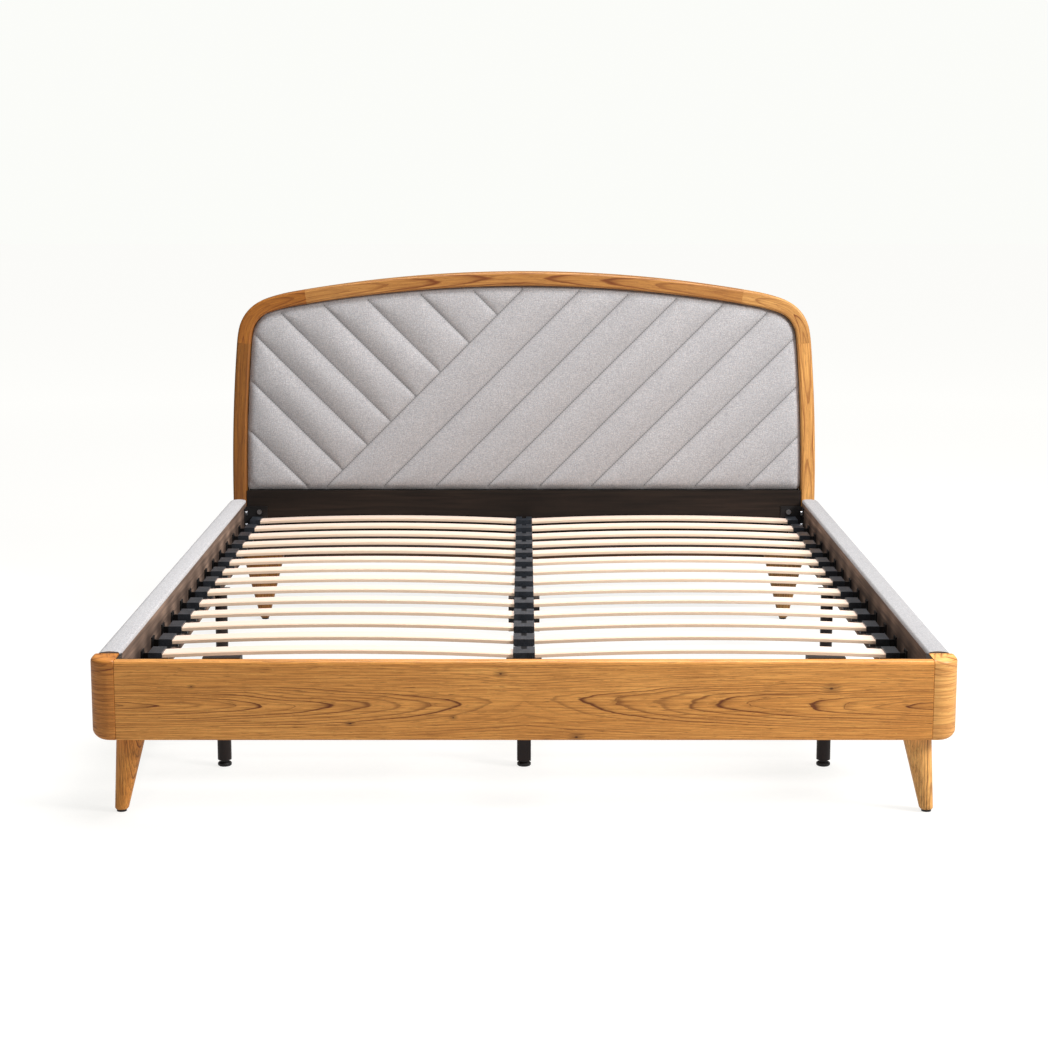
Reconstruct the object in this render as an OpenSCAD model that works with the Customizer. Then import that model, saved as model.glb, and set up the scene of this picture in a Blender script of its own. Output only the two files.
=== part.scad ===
// Double bed frame: oak foot end and headboard rim, upholstered side rails and
// headboard pad, sprung slats on a steel slat frame, oak legs and steel support legs.
// Z is up, X runs across the bed, Y runs from the foot end to the headboard.
// The origin is on the floor, in the middle of the bed.

/* [Mattress] */
// Width of the mattress that the frame takes
mattress_w = 1600; // [1400:10:1800]
// Length of the mattress that the frame takes
mattress_l = 2000; // [2000:10:2100]
// Gap left round the mattress on each side
mattress_gap = 10; // [5:1:15]

/* [Foot end] */
// Height of the underside of the oak foot panel
panel_z = 160; // [150:1:170]
// Height of the oak foot panel itself
panel_h = 161; // [158:1:180]
// Thickness of the oak foot panel
panel_t = 25; // [20:1:28]
// Width of a corner post, across the bed
post_w = 53; // [45:1:60]
// Depth of a corner post, along the bed
post_d = 65; // [55:1:75]
// Radius of a corner post, seen from above
post_r = 46; // [30:1:48]
// Radius along a corner post's lower edge
post_bottom_r = 18; // [8:1:22]
// Radius along the upper edges
top_edge_r = 8; // [4:1:10]

/* [Side rails] */
// Height of the top of an upholstered side rail
rail_top_z = 325; // [315:1:335]
// Thickness of the board inside a side rail
rail_board_t = 28; // [24:1:32]
// Thickness of the padding outside the board
rail_pad_t = 20; // [12:1:22]
// Thickness of the padding on top of the board
rail_top_pad = 9; // [6:1:12]
// Radius of the padding's outer upper edge
rail_pad_r = 14; // [8:1:16]

/* [Headboard] */
// Height of the middle of the headboard's arch
arch_z = 983; // [930:1:1050]
// Width of the oak rim's face
rim_w = 40; // [34:1:46]
// Depth of the oak rim, front to back
rim_d = 65; // [60:1:80]
// Height of the pad's lower edge
pad_z = 350; // [342:1:360]
// Thickness of the pad
pad_t = 40; // [30:1:42]
// Thickness of the board behind the pad
backboard_t = 12; // [9:1:14]
// Height of the oak rail under the headboard
bottom_rail_z = 147; // [140:1:158]

/* [Slats] */
// Rows of slats, two slats in each
slat_rows = 15; // [10:1:15]
// Distance from one row of slats to the next
slat_pitch = 131; // [120:1:131]
// Width of a slat
slat_w = 53; // [40:1:60]
// Thickness of a slat
slat_t = 8; // [7:1:9]
// Height of the upper face of a slat at its ends
slat_z = 270; // [266:1:276]
// Rise of a slat in its middle
slat_bow = 9; // [4:1:12]

/* [Slat frame] */
// Width of the ledge that carries the side holders
ledge_w = 30; // [26:1:34]
// Thickness of the steel of the ledges and brackets
steel_t = 3; // [2:0.5:4]
// Width of the middle beam
beam_w = 40; // [36:1:44]
// Height of the middle beam
beam_h = 20; // [16:1:24]
// Place of the foot cross rail along the bed
foot_cross_y = 382; // [360:1:420]
// Place of the head cross rail along the bed
head_cross_y = 1904; // [1850:1:1925]

/* [Legs] */
// Distance from the middle to a leg under the foot cross rail
foot_leg_x = 650; // [500:1:680]
// Distance from the middle to a leg under a ledge
mid_leg_x = 746; // [740:1:750]
// Place of the middle legs along the bed
mid_leg_y = 1050; // [900:1:1100]
// Outer diameter of a steel support leg
tube_d = 30; // [26:1:34]
// Diameter of an oak foot leg at its top
oak_top_d = 59; // [50:1:62]
// Diameter of an oak foot leg at its floor end
oak_floor_d = 27; // [22:1:34]
// Travel of a levelling foot
foot_travel = 12; // [5:1:15]

/* [Hidden] */

function row_name(row) = str("slat_row_", row < 10 ? "0" : "", row);

// Clearance between parts that are only laid together
fit_gap = 0.3;
// How far a cut runs past the face that it opens
cut = 1;
arc_steps = 8;
// Facets of the turned parts, and of the bolts
turned_fn = 48;
bolt_fn = 24;

// Main planes, measured from the front face of the foot panel
inner_x = mattress_w / 2 + mattress_gap;
inner_y0 = panel_t;
head_y = inner_y0 + mattress_l + 2 * mattress_gap;
total_l = head_y + rim_d;
panel_end = 1;
post_x = inner_x + panel_end;
outer_x = post_x + post_w;
board_x = inner_x + rail_board_t;
rail_x = board_x + rail_pad_t;
panel_top = panel_z + panel_h;
rail_y0 = post_d;

// Radius of the padding along the inner upper edge of a side rail
rail_in_r = 3;

// Headboard rim: arcs from the crown down to the post, as [radius, turn]
rim_set_in = 11;
rim_foot_x = rail_x - rim_set_in;
crown_turn = 9.4;
crown_end_turn = 0.6;
shoulder = [[500, 8.8], [118, 59.5], [332, 6.5], [4860, 5.2]];
shoulder_x = arc_run(shoulder, 0, crown_turn + crown_end_turn);
crown_r = (rim_foot_x - shoulder_x) / sin(crown_turn + crown_end_turn);
rim_arcs = concat([[crown_r, crown_turn], [crown_r, crown_end_turn]], shoulder);
rim_steps = [18, 2, 8, 16, 4, 10];
arch_arcs = [0, 0];
corner_arcs = [1, 4];
post_arcs = [5, 5];

// How far a list of arcs reaches outwards, starting at a heading below level
function arc_run(arcs, i, h) =
  i == len(arcs) ? 0
  : arcs[i][0] * (sin(h + arcs[i][1]) - sin(h)) + arc_run(arcs, i + 1, h + arcs[i][1]);
function rim_heading(i) = i == 0 ? 0 : rim_heading(i - 1) + rim_arcs[i - 1][1];
function rim_x(i) =
  i == 0 ? 0
  : rim_x(i - 1) + rim_arcs[i - 1][0] * (sin(rim_heading(i)) - sin(rim_heading(i - 1)));
function rim_z(i) =
  i == 0 ? arch_z
  : rim_z(i - 1) - rim_arcs[i - 1][0] * (cos(rim_heading(i - 1)) - cos(rim_heading(i)));
// A point on arc i at a heading, moved inwards by an inset
function rim_point(i, h, inset) = [
  rim_x(i) + rim_arcs[i][0] * (sin(h) - sin(rim_heading(i))) - inset * sin(h),
  rim_z(i) - rim_arcs[i][0] * (cos(rim_heading(i)) - cos(h)) - inset * cos(h)
];
function rim_line(first, last, inset) = [
  for (i = [first:last])
    for (k = [(i == first ? 0 : 1):rim_steps[i]])
      rim_point(i, rim_heading(i) + rim_arcs[i][1] * k / rim_steps[i], inset)
];
function reversed(list) = [for (i = [len(list) - 1:-1:0]) list[i]];
function mirrored(list) = [for (p = reversed(list)) [-p[0], p[1]]];
// The space inside the rim, down to a height
function rim_inside(inset, z0) =
  let (side = concat(rim_line(0, len(rim_arcs) - 1, inset), [[rim_foot_x - inset, z0]]))
  concat(side, mirrored([for (i = [1:len(side) - 1]) side[i]]));

// Headboard layers, front to back
pad_recess = 4;
pad_y = head_y + pad_recess;
backboard_y = pad_y + pad_t;
cover_t = 2;
cover_recess = 6;
cover_y = head_y + rim_d - cover_recess;
cover_gap = 1;
lower_panel_t = 18;
bottom_rail_h = 21;
bottom_rail_d = 40;
lower_panel_z = bottom_rail_z + bottom_rail_h;
post_bottom_z = bottom_rail_z;

// Slats, holders and the ledges below them
first_slat = 141.5;
slat_y0 = inner_y0 + mattress_gap + first_slat;
holder_l = 62;
holder_wall = 4;
holder_floor = 3;
holder_z = slat_z - slat_t - holder_floor;
holder_top = slat_z + holder_wall;
ledge_gap = 18;
ledge_x = inner_x - ledge_gap;
holder_gap = 1;
holder_w = ledge_w - holder_gap;
holder_in = ledge_x - holder_gap - holder_w;
socket_d = 20;
centre_holder_w = 46;
slat_inner = 9;
slat_outer = holder_in + socket_d - fit_gap;
hook_l = 12;
hook_w = 26;
hook_down = 3;
hook_up = 1.5;
notch_w = 12;
notch_l = 26;
slat_steps = 20;
ledge_foot_gap = 4;
ledge_head_gap = 10;
frame_y0 = post_d + ledge_foot_gap;
frame_y1 = head_y - ledge_head_gap;
ledge_h = 30;
clip_w = 28;
clip_up = 4;
web_down = 4;
web_up = 8;
hanger_ear = 14;
hanger_l = 34;
hanger_drop = 4;

// Cross rails and the middle beam
cross_top = holder_z - beam_h;
foot_cross_h = 32;
foot_cross_drop = 8;
foot_cross_top = cross_top - foot_cross_drop;
foot_cross_d = 30;
head_cross_h = 43;
head_cross_d = 60;
cross_x = ledge_x - steel_t - fit_gap;
tube_wall = 2;
clamp_w = 81;
clamp_d = 44;
clamp_h = 5;

// Legs
leg_set_in = 21.5;
leg_x = inner_x - leg_set_in;
leg_splay = 24;
leg_rim = 1;
leg_y = 50;
glide_h = 4;
glide_d = 20;
head_leg_set_in = 67;
head_leg_x = inner_x - head_leg_set_in;
head_leg_top_w = 120;
head_leg_floor_w = 24;
head_leg_top_d = 56;
head_leg_floor_d = 28;
oak_bolt_r = 4;
oak_bolt_clear = 0.2;
oak_bolt_down = 45;
oak_bolt_up = 40;
insert_h = 14;
insert_z = 14;
stem_r = 5;
stem_gap = 0.05;
stem_spare = 2;
stem_l = insert_z + insert_h + foot_travel + stem_spare;
disc_bevel = 2;
pad_disc_r = 15;
pad_disc_h = 8;
neck_r = 9;
mid_plate_t = 5;
mid_plate_d = 56;
mid_plate_lip = 4;
centre_leg_plate_w = 76;
centre_leg_plate_h = 82;

// Fixings
block = 65;
block_top = 225;
bracket_l = 62;
bracket_rail_l = 50;
foot_bracket_z = [238, 320];
head_bracket_z = [236, 304];
bolt_r = 4;
bolt_head_r = 7;
bolt_head_h = 4;
bolt_inset = 16;
bolt_shift = 8;
bolt_x = inner_x - bracket_l / 2 - bolt_shift;
rail_bolt_y = 26;

oak = "#C08345";
oak_dark = "#A86E38";
birch = "#F3E2C8";
fabric = "#C6C7CB";
dark_board = "#2B2322";
steel_black = "#2E2A2A";
plastic_slate = "#3C4148";
bolt_silver = "#B8BABD";

// ---------- helpers ----------

// Moves a part from the foot panel's face to the middle of the bed
module placed() {
  translate([0, -total_l / 2, 0])
    children();
}

module both_sides() {
  children();
  mirror([1, 0, 0]) children();
}

// An outline in X and Z, drawn from y0 to y1
module along_y(y0, y1) {
  translate([0, y1, 0])
    rotate([90, 0, 0])
      linear_extrude(height = y1 - y0) children();
}

// An outline in Y and Z, drawn from x0 to x1
module along_x(x0, x1) {
  translate([x0, 0, 0])
    rotate([90, 0, 90])
      linear_extrude(height = x1 - x0) children();
}

// A box between two corners
module box(lo, hi) {
  translate(lo) cube(hi - lo);
}

// A quarter round of points about a centre, from one angle to another
function round_points(c, r, a0, a1) = [
  for (k = [0:arc_steps])
    let (a = a0 + (a1 - a0) * k / arc_steps)
    [c[0] + r * cos(a), c[1] + r * sin(a)]
];

// ---------- foot end ----------

module foot_panel() {
  color(oak) placed()
    along_x(-post_x + fit_gap, post_x - fit_gap)
      polygon(concat(
        [[0, panel_z], [panel_t, panel_z]],
        round_points([panel_t - top_edge_r, panel_top - top_edge_r], top_edge_r, 0, 90),
        round_points([top_edge_r, panel_top - top_edge_r], top_edge_r, 90, 180)
      ));
}

// Corner post: the plan, front and side outlines, crossed with each other
module foot_post(side) {
  x0 = post_x;
  over = panel_top + cut;
  color(oak) placed() mirror([side, 0, 0]) intersection() {
    translate([0, 0, panel_z])
      linear_extrude(height = over - panel_z)
        polygon(concat(
          [[x0, post_d], [x0, 0]],
          round_points([outer_x - post_r, post_r], post_r, -90, 0),
          [[outer_x, post_d]]
        ));
    along_y(-cut, post_d + cut)
      polygon(concat(
        [[x0, panel_z]],
        round_points([outer_x - post_bottom_r, panel_z + post_bottom_r], post_bottom_r, -90, 0),
        round_points([outer_x - top_edge_r, over - top_edge_r], top_edge_r, 0, 90),
        [[x0, over]]
      ));
    along_x(x0, outer_x + cut)
      polygon(concat(
        [[0, panel_z], [post_d, panel_z], [post_d, over]],
        round_points([top_edge_r, over - top_edge_r], top_edge_r, 90, 180)
      ));
  }
}

// Glued blocks in the foot corners, which take the foot legs' bolts
module corner_blocks() {
  color(oak_dark) placed() both_sides() difference() {
    box([inner_x - block, panel_t, panel_z], [inner_x, panel_t + block, block_top]);
    translate([leg_x, leg_y, panel_z - cut])
      cylinder(h = oak_bolt_up + cut, r = oak_bolt_r + oak_bolt_clear, $fn = bolt_fn);
  }
}

// ---------- side rails ----------

module side_rail(side) {
  color(dark_board) placed() mirror([side, 0, 0])
    box([inner_x, rail_y0, panel_z], [board_x, head_y, rail_top_z - rail_top_pad]);
}

// Padded cover: over the top of the board and down its outer face
module rail_cover(side) {
  color(fabric) placed() mirror([side, 0, 0])
    along_y(rail_y0, head_y)
      polygon(concat(
        [[board_x, panel_z], [rail_x, panel_z]],
        round_points([rail_x - rail_pad_r, rail_top_z - rail_pad_r], rail_pad_r, 0, 90),
        round_points([inner_x + rail_in_r, rail_top_z - rail_in_r], rail_in_r, 90, 180),
        [[inner_x, rail_top_z - rail_top_pad], [board_x, rail_top_z - rail_top_pad]]
      ));
}

// ---------- headboard ----------

// A stretch of the oak rim on the right, from one arc to another
module rim_stretch(arcs, tail) {
  along_y(head_y, head_y + rim_d)
    polygon(concat(
      rim_line(arcs[0], arcs[1], 0),
      [for (z = tail) [rim_foot_x, z]],
      [for (z = tail) [rim_foot_x - rim_w, z]],
      reversed(rim_line(arcs[0], arcs[1], rim_w))
    ));
}

module headboard_arch() {
  half = rim_line(arch_arcs[0], arch_arcs[1], 0);
  half_in = rim_line(arch_arcs[0], arch_arcs[1], rim_w);
  color(oak) placed()
    along_y(head_y, head_y + rim_d)
      polygon(concat(
        mirrored([for (i = [1:len(half) - 1]) half[i]]),
        half,
        reversed(half_in),
        [for (i = [1:len(half_in) - 1]) [-half_in[i][0], half_in[i][1]]]
      ));
}

module headboard_corner(side) {
  color(oak) placed() mirror([side, 0, 0]) rim_stretch(corner_arcs, []);
}

module headboard_post(side) {
  color(oak) placed() mirror([side, 0, 0]) rim_stretch(post_arcs, [post_bottom_z]);
}

// A board that fills the rim, from a height upwards
module rim_filling(inset, z0, y0, y1) {
  intersection() {
    along_y(y0, y1) polygon(rim_inside(inset, bottom_rail_z));
    box([-outer_x, y0 - cut, z0], [outer_x, y1 + cut, arch_z]);
  }
}

module headboard_backboard() {
  color(dark_board) placed()
    rim_filling(rim_w + fit_gap, pad_z, backboard_y, backboard_y + backboard_t);
}

module headboard_pad() {
  color(fabric) placed()
    rim_filling(rim_w + fit_gap, pad_z, pad_y, backboard_y - fit_gap);
}

module headboard_back_cover() {
  color(fabric) placed()
    rim_filling(rim_w + fit_gap, lower_panel_z + cover_gap, cover_y, cover_y + cover_t);
}

module headboard_lower_panel() {
  x = rim_foot_x - rim_w - fit_gap;
  color(dark_board) placed()
    box([-x, head_y, lower_panel_z], [x, head_y + lower_panel_t, pad_z - fit_gap]);
}

module headboard_bottom_rail() {
  x = rim_foot_x - rim_w - fit_gap;
  color(oak_dark) placed()
    box([-x, head_y, bottom_rail_z], [x, head_y + bottom_rail_d, lower_panel_z]);
}

// ---------- oak legs ----------

module oak_bolt_hole(x, y, top) {
  translate([x, y, top - oak_bolt_down])
    cylinder(h = oak_bolt_down + cut, r = oak_bolt_r + oak_bolt_clear, $fn = bolt_fn);
}

// Turned leg that leans out to the side as it goes down
module oak_leg_foot(side) {
  color(oak) placed() mirror([side, 0, 0]) difference() {
    hull() {
      translate([leg_x, leg_y, panel_z - leg_rim])
        cylinder(h = leg_rim, d = oak_top_d, $fn = turned_fn);
      translate([leg_x + leg_splay, leg_y, glide_h])
        cylinder(h = leg_rim, d = oak_floor_d, $fn = turned_fn);
    }
    oak_bolt_hole(leg_x, leg_y, panel_z);
  }
}

// Wedge leg below the head cross rail
module oak_leg_head(side) {
  top = cross_top - head_cross_h;
  color(oak) placed() mirror([side, 0, 0]) difference() {
    intersection() {
      along_y(head_cross_y - head_cross_d / 2, head_cross_y + head_cross_d / 2)
        polygon([
          [head_leg_x - head_leg_floor_w / 2, glide_h],
          [head_leg_x + head_leg_floor_w / 2, glide_h],
          [head_leg_x + head_leg_top_w / 2, top],
          [head_leg_x - head_leg_top_w / 2, top]
        ]);
      along_x(head_leg_x - head_leg_top_w, head_leg_x + head_leg_top_w)
        polygon([
          [head_cross_y - head_leg_floor_d / 2, glide_h],
          [head_cross_y + head_leg_floor_d / 2, glide_h],
          [head_cross_y + head_leg_top_d / 2, top],
          [head_cross_y - head_leg_top_d / 2, top]
        ]);
    }
    oak_bolt_hole(head_leg_x, head_cross_y, top);
  }
}

module oak_bolt(x, y, top) {
  translate([x, y, top - oak_bolt_down])
    cylinder(h = oak_bolt_down + oak_bolt_up, r = oak_bolt_r, $fn = bolt_fn);
}

module oak_leg_bolts() {
  color(bolt_silver) placed() both_sides() {
    oak_bolt(leg_x, leg_y, panel_z);
    oak_bolt(head_leg_x, head_cross_y, cross_top - head_cross_h);
  }
}

module oak_leg_glides() {
  color(steel_black) placed() both_sides() {
    translate([leg_x + leg_splay, leg_y, 0])
      cylinder(h = glide_h, d = glide_d, $fn = turned_fn);
    translate([head_leg_x, head_cross_y, 0])
      cylinder(h = glide_h, d = glide_d, $fn = turned_fn);
  }
}

// ---------- slat frame ----------

// Steel angle: the flat leg carries the holders, the other hangs down outside
module slat_ledge(side) {
  color(steel_black) placed() mirror([side, 0, 0])
    along_y(frame_y0, frame_y1)
      polygon([
        [ledge_x - ledge_w, holder_z - steel_t],
        [ledge_x - steel_t, holder_z - steel_t],
        [ledge_x - steel_t, holder_z - ledge_h],
        [ledge_x, holder_z - ledge_h],
        [ledge_x, holder_z],
        [ledge_x - ledge_w, holder_z]
      ]);
}

// Formed clips that hang a ledge on the side rail's board. The last row has the
// head corner bracket instead
module ledge_brackets() {
  z0 = holder_z - ledge_h;
  color(steel_black) placed() both_sides()
    for (row = [0:slat_rows - 2]) {
      y = slat_y(row);
      box([inner_x - steel_t, y - clip_w / 2, z0], [inner_x, y + clip_w / 2, slat_z + clip_up]);
      box(
        [ledge_x, y - steel_t / 2, z0 + web_down],
        [inner_x - steel_t, y + steel_t / 2, holder_z + web_up]
      );
    }
}

function slat_y(row) = slat_y0 + row * slat_pitch;

module rect_tube_x(x0, x1, y, z0, d, h, wall) {
  difference() {
    box([x0, y - d / 2, z0], [x1, y + d / 2, z0 + h]);
    box([x0 - cut, y - d / 2 + wall, z0 + wall], [x1 + cut, y + d / 2 - wall, z0 + h - wall]);
  }
}

module centre_beam() {
  y0 = panel_t + steel_t + fit_gap;
  y1 = head_y - steel_t - fit_gap;
  color(steel_black) placed() difference() {
    box([-beam_w / 2, y0, holder_z - beam_h], [beam_w / 2, y1, holder_z]);
    box(
      [-beam_w / 2 + tube_wall, y0 - cut, holder_z - beam_h + tube_wall],
      [beam_w / 2 - tube_wall, y1 + cut, holder_z - tube_wall]
    );
  }
}

// Sockets on the foot panel and the lower panel that hold the middle beam's ends
module beam_hanger(y, out) {
  w = beam_w / 2 + steel_t;
  z0 = holder_z - beam_h - steel_t - fit_gap;
  translate([0, y, 0]) mirror([0, out, 0]) difference() {
    union() {
      box([-w - hanger_ear, 0, z0], [w + hanger_ear, steel_t, holder_z]);
      box([-w, 0, z0], [w, hanger_l, holder_z - hanger_drop]);
    }
    box(
      [-w + steel_t - fit_gap, steel_t, z0 + steel_t],
      [w - steel_t + fit_gap, hanger_l + cut, holder_z]
    );
  }
}

module beam_hangers() {
  color(steel_black) placed() {
    beam_hanger(panel_t, 0);
    beam_hanger(head_y, 1);
  }
}

module cross_rail_foot() {
  color(steel_black) placed()
    rect_tube_x(
      -cross_x, cross_x, foot_cross_y, foot_cross_top - foot_cross_h,
      foot_cross_d, foot_cross_h, tube_wall
    );
}

module cross_rail_head() {
  top = cross_top - head_cross_h;
  color(dark_board) placed() difference() {
    box(
      [-cross_x, head_cross_y - head_cross_d / 2, top],
      [cross_x, head_cross_y + head_cross_d / 2, cross_top]
    );
    both_sides()
      translate([head_leg_x, head_cross_y, top - cut])
        cylinder(h = oak_bolt_up + cut, r = oak_bolt_r + oak_bolt_clear, $fn = bolt_fn);
  }
}

// ---------- brackets and fixings ----------

// L-shaped bracket in a corner of the frame on the right
module corner_bracket(y, out, z) {
  translate([0, y, 0]) mirror([0, out, 0]) difference() {
    union() {
      box([inner_x - bracket_l, 0, z[0]], [inner_x - steel_t, steel_t, z[1]]);
      box([inner_x - steel_t, 0, z[0]], [inner_x, bracket_rail_l, z[1]]);
    }
    for (h = bracket_bolt_heights(z)) {
      translate([bolt_x, -cut, h])
        rotate([-90, 0, 0])
          cylinder(h = steel_t + 2 * cut, r = bolt_r + fit_gap, $fn = bolt_fn);
      translate([inner_x + cut, rail_bolt_y, h])
        rotate([0, -90, 0])
          cylinder(h = steel_t + 2 * cut, r = bolt_r + fit_gap, $fn = bolt_fn);
    }
  }
}

function bracket_bolt_heights(z) = [z[0] + bolt_inset, z[1] - bolt_inset];

module corner_brackets() {
  color(steel_black) placed() both_sides() {
    corner_bracket(panel_t, 0, foot_bracket_z);
    corner_bracket(head_y, 1, head_bracket_z);
  }
}

// Bolt with its head on a bracket, standing on the plane of the plate's far face
module pan_bolt() {
  cylinder(h = steel_t, r = bolt_r, $fn = bolt_fn);
  translate([0, 0, steel_t])
    cylinder(h = bolt_head_h, r = bolt_head_r, $fn = bolt_fn);
}

module bracket_bolt(y, out, z) {
  translate([0, y, 0]) mirror([0, out, 0])
    for (h = bracket_bolt_heights(z)) {
      translate([bolt_x, 0, h])
        rotate([-90, 0, 0]) pan_bolt();
      translate([inner_x, rail_bolt_y, h])
        rotate([0, -90, 0]) pan_bolt();
    }
}

module bracket_bolts() {
  color(bolt_silver) placed() both_sides() {
    bracket_bolt(panel_t, 0, foot_bracket_z);
    bracket_bolt(head_y, 1, head_bracket_z);
  }
}

// Plates on top of the support legs: on the foot cross rail, and under the ledges
// and the middle beam half way along
module support_leg_plates() {
  ledge_under = holder_z - steel_t;
  beam_under = holder_z - beam_h;
  y0 = mid_leg_y - mid_plate_d / 2;
  y1 = mid_leg_y + mid_plate_d / 2;
  color(steel_black) placed() {
    both_sides() {
      box(
        [foot_leg_x - clamp_w / 2, foot_cross_y - clamp_d / 2, foot_cross_top],
        [foot_leg_x + clamp_w / 2, foot_cross_y + clamp_d / 2, cross_top + clamp_h]
      );
      box(
        [mid_leg_x - tube_d / 2 - mid_plate_lip, y0, ledge_under - mid_plate_t],
        [ledge_x - steel_t - fit_gap, y1, ledge_under]
      );
    }
    box(
      [-centre_leg_plate_w / 2, foot_cross_y - foot_cross_d / 2, foot_cross_top],
      [centre_leg_plate_w / 2, foot_cross_y + foot_cross_d / 2, cross_top]
    );
    box(
      [-centre_leg_plate_w / 2, y0, beam_under - mid_plate_t],
      [centre_leg_plate_w / 2, y1, beam_under]
    );
    box(
      [-centre_leg_plate_w / 2, y0 - steel_t, beam_under - centre_leg_plate_h],
      [centre_leg_plate_w / 2, y0, beam_under]
    );
  }
}

// ---------- support legs and levelling feet ----------

// Thread insert at the lower end of a leg
module insert_bore(x, y) {
  translate([x, y, 0])
    cylinder(h = insert_z + insert_h + stem_l, r = stem_r + stem_gap, $fn = turned_fn);
}

// Round steel leg, solid at its threaded end and hollow above
module round_leg(x, y, top) {
  difference() {
    translate([x, y, insert_z]) cylinder(h = top - insert_z, d = tube_d, $fn = turned_fn);
    translate([x, y, insert_z + insert_h])
      cylinder(h = top - insert_z - insert_h - tube_wall, d = tube_d - 2 * tube_wall, $fn = turned_fn);
    insert_bore(x, y);
  }
}

module square_leg(x, y, top) {
  half = tube_d / 2;
  difference() {
    box([x - half, y - half, insert_z], [x + half, y + half, top]);
    box(
      [x - half + tube_wall, y - half + tube_wall, insert_z + insert_h],
      [x + half - tube_wall, y + half - tube_wall, top - tube_wall]
    );
    insert_bore(x, y);
  }
}

module support_legs_foot() {
  top = foot_cross_top - foot_cross_h;
  color(steel_black) placed() {
    both_sides() round_leg(foot_leg_x, foot_cross_y, top);
    square_leg(0, foot_cross_y, top);
  }
}

module support_legs_mid() {
  color(steel_black) placed() {
    both_sides() round_leg(mid_leg_x, mid_leg_y, holder_z - steel_t - mid_plate_t);
    square_leg(0, mid_leg_y, holder_z - beam_h - mid_plate_t);
  }
}

// Levelling foot: floor disc, neck and threaded stem
module leveller(x, y) {
  color(plastic_slate) placed() translate([x, y, 0]) {
    rotate_extrude($fn = turned_fn)
      polygon([
        [0, 0], [pad_disc_r - disc_bevel, 0], [pad_disc_r, disc_bevel],
        [pad_disc_r, pad_disc_h - disc_bevel],
        [pad_disc_r - disc_bevel, pad_disc_h], [neck_r, pad_disc_h], [neck_r, insert_z - fit_gap],
        [stem_r, insert_z - fit_gap], [stem_r, stem_l], [0, stem_l]
      ]);
  }
}

// ---------- slats and holders ----------

// Upper or lower line of the right slat: level in the sockets, arched between
function slat_line(dz) =
  let (x0 = centre_holder_w / 2, x1 = holder_in, mid = (x0 + x1) / 2, half = (x1 - x0) / 2)
  concat(
    [[slat_inner, dz]],
    [for (k = [0:slat_steps])
      let (x = x0 + (x1 - x0) * k / slat_steps)
      [x, dz + slat_bow * (1 - pow((x - mid) / half, 2))]],
    [[slat_outer, dz]]
  );

module slat_row(row) {
  color(birch) placed() both_sides()
    along_y(slat_y(row) - slat_w / 2, slat_y(row) + slat_w / 2)
      polygon(concat(slat_line(slat_z - slat_t), reversed(slat_line(slat_z))));
}

// Side holder on the right: a cap with a socket, and a lip under the slat
module side_holder(y) {
  out = holder_in + holder_w;
  difference() {
    box([holder_in, y - holder_l / 2, holder_z], [out, y + holder_l / 2, holder_top]);
    box(
      [holder_in - cut, y - slat_w / 2 - fit_gap, slat_z - slat_t - fit_gap / 2],
      [holder_in + socket_d, y + slat_w / 2 + fit_gap, slat_z + fit_gap / 2]
    );
  }
  box(
    [holder_in - hook_l, y - hook_w, holder_z - hook_down],
    [holder_in, y - hook_w / 2, holder_z + hook_up]
  );
}

module slat_holders(side) {
  color(plastic_slate) placed() mirror([side, 0, 0])
    for (row = [0:slat_rows - 1])
      side_holder(slat_y(row));
}

// Double holders on the beam, with a notch in the back of the cap
module slat_holders_centre() {
  half = centre_holder_w / 2;
  color(plastic_slate) placed()
    for (row = [0:slat_rows - 1]) {
      y = slat_y(row);
      difference() {
        box([-half, y - holder_l / 2, holder_z], [half, y + holder_l / 2, holder_top]);
        both_sides()
          box(
            [slat_inner - fit_gap, y - slat_w / 2 - fit_gap, slat_z - slat_t - fit_gap / 2],
            [half + cut, y + slat_w / 2 + fit_gap, slat_z + fit_gap / 2]
          );
        box(
          [-notch_w / 2, y + holder_l / 2 - notch_l, holder_z - cut],
          [notch_w / 2, y + holder_l / 2 + cut, holder_top + cut]
        );
      }
    }
}

// ---------- nodes ----------

foot_panel();
foot_post(1);  // foot_post_left
foot_post(0);  // foot_post_right
corner_blocks();
side_rail(1);  // side_rail_left
side_rail(0);  // side_rail_right
rail_cover(1);  // rail_cover_left
rail_cover(0);  // rail_cover_right
headboard_arch();
headboard_corner(1);  // headboard_corner_left
headboard_corner(0);  // headboard_corner_right
headboard_post(1);  // headboard_post_left
headboard_post(0);  // headboard_post_right
headboard_backboard();
headboard_pad();
headboard_lower_panel();
headboard_bottom_rail();
headboard_back_cover();
oak_leg_foot(1);  // oak_leg_foot_left
oak_leg_foot(0);  // oak_leg_foot_right
oak_leg_head(1);  // oak_leg_head_left
oak_leg_head(0);  // oak_leg_head_right
oak_leg_bolts();
oak_leg_glides();
slat_ledge(1);  // slat_ledge_left
slat_ledge(0);  // slat_ledge_right
ledge_brackets();
centre_beam();
beam_hangers();
cross_rail_foot();
cross_rail_head();
corner_brackets();
bracket_bolts();
support_leg_plates();
support_legs_foot();
support_legs_mid();
slat_holders(1);  // slat_holders_left
slat_holders(0);  // slat_holders_right
slat_holders_centre();
for (row = [0:slat_rows - 1])
  slat_row(row);
leveller(-foot_leg_x, foot_cross_y);  // leveller_foot_left
leveller(0, foot_cross_y);  // leveller_foot_middle
leveller(foot_leg_x, foot_cross_y);  // leveller_foot_right
leveller(-mid_leg_x, mid_leg_y);  // leveller_mid_left
leveller(0, mid_leg_y);  // leveller_mid_middle
leveller(mid_leg_x, mid_leg_y);  // leveller_mid_right
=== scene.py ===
"""Looks of the oak bed frame: oak, woven upholstery, birch slats and dark steel."""

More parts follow.
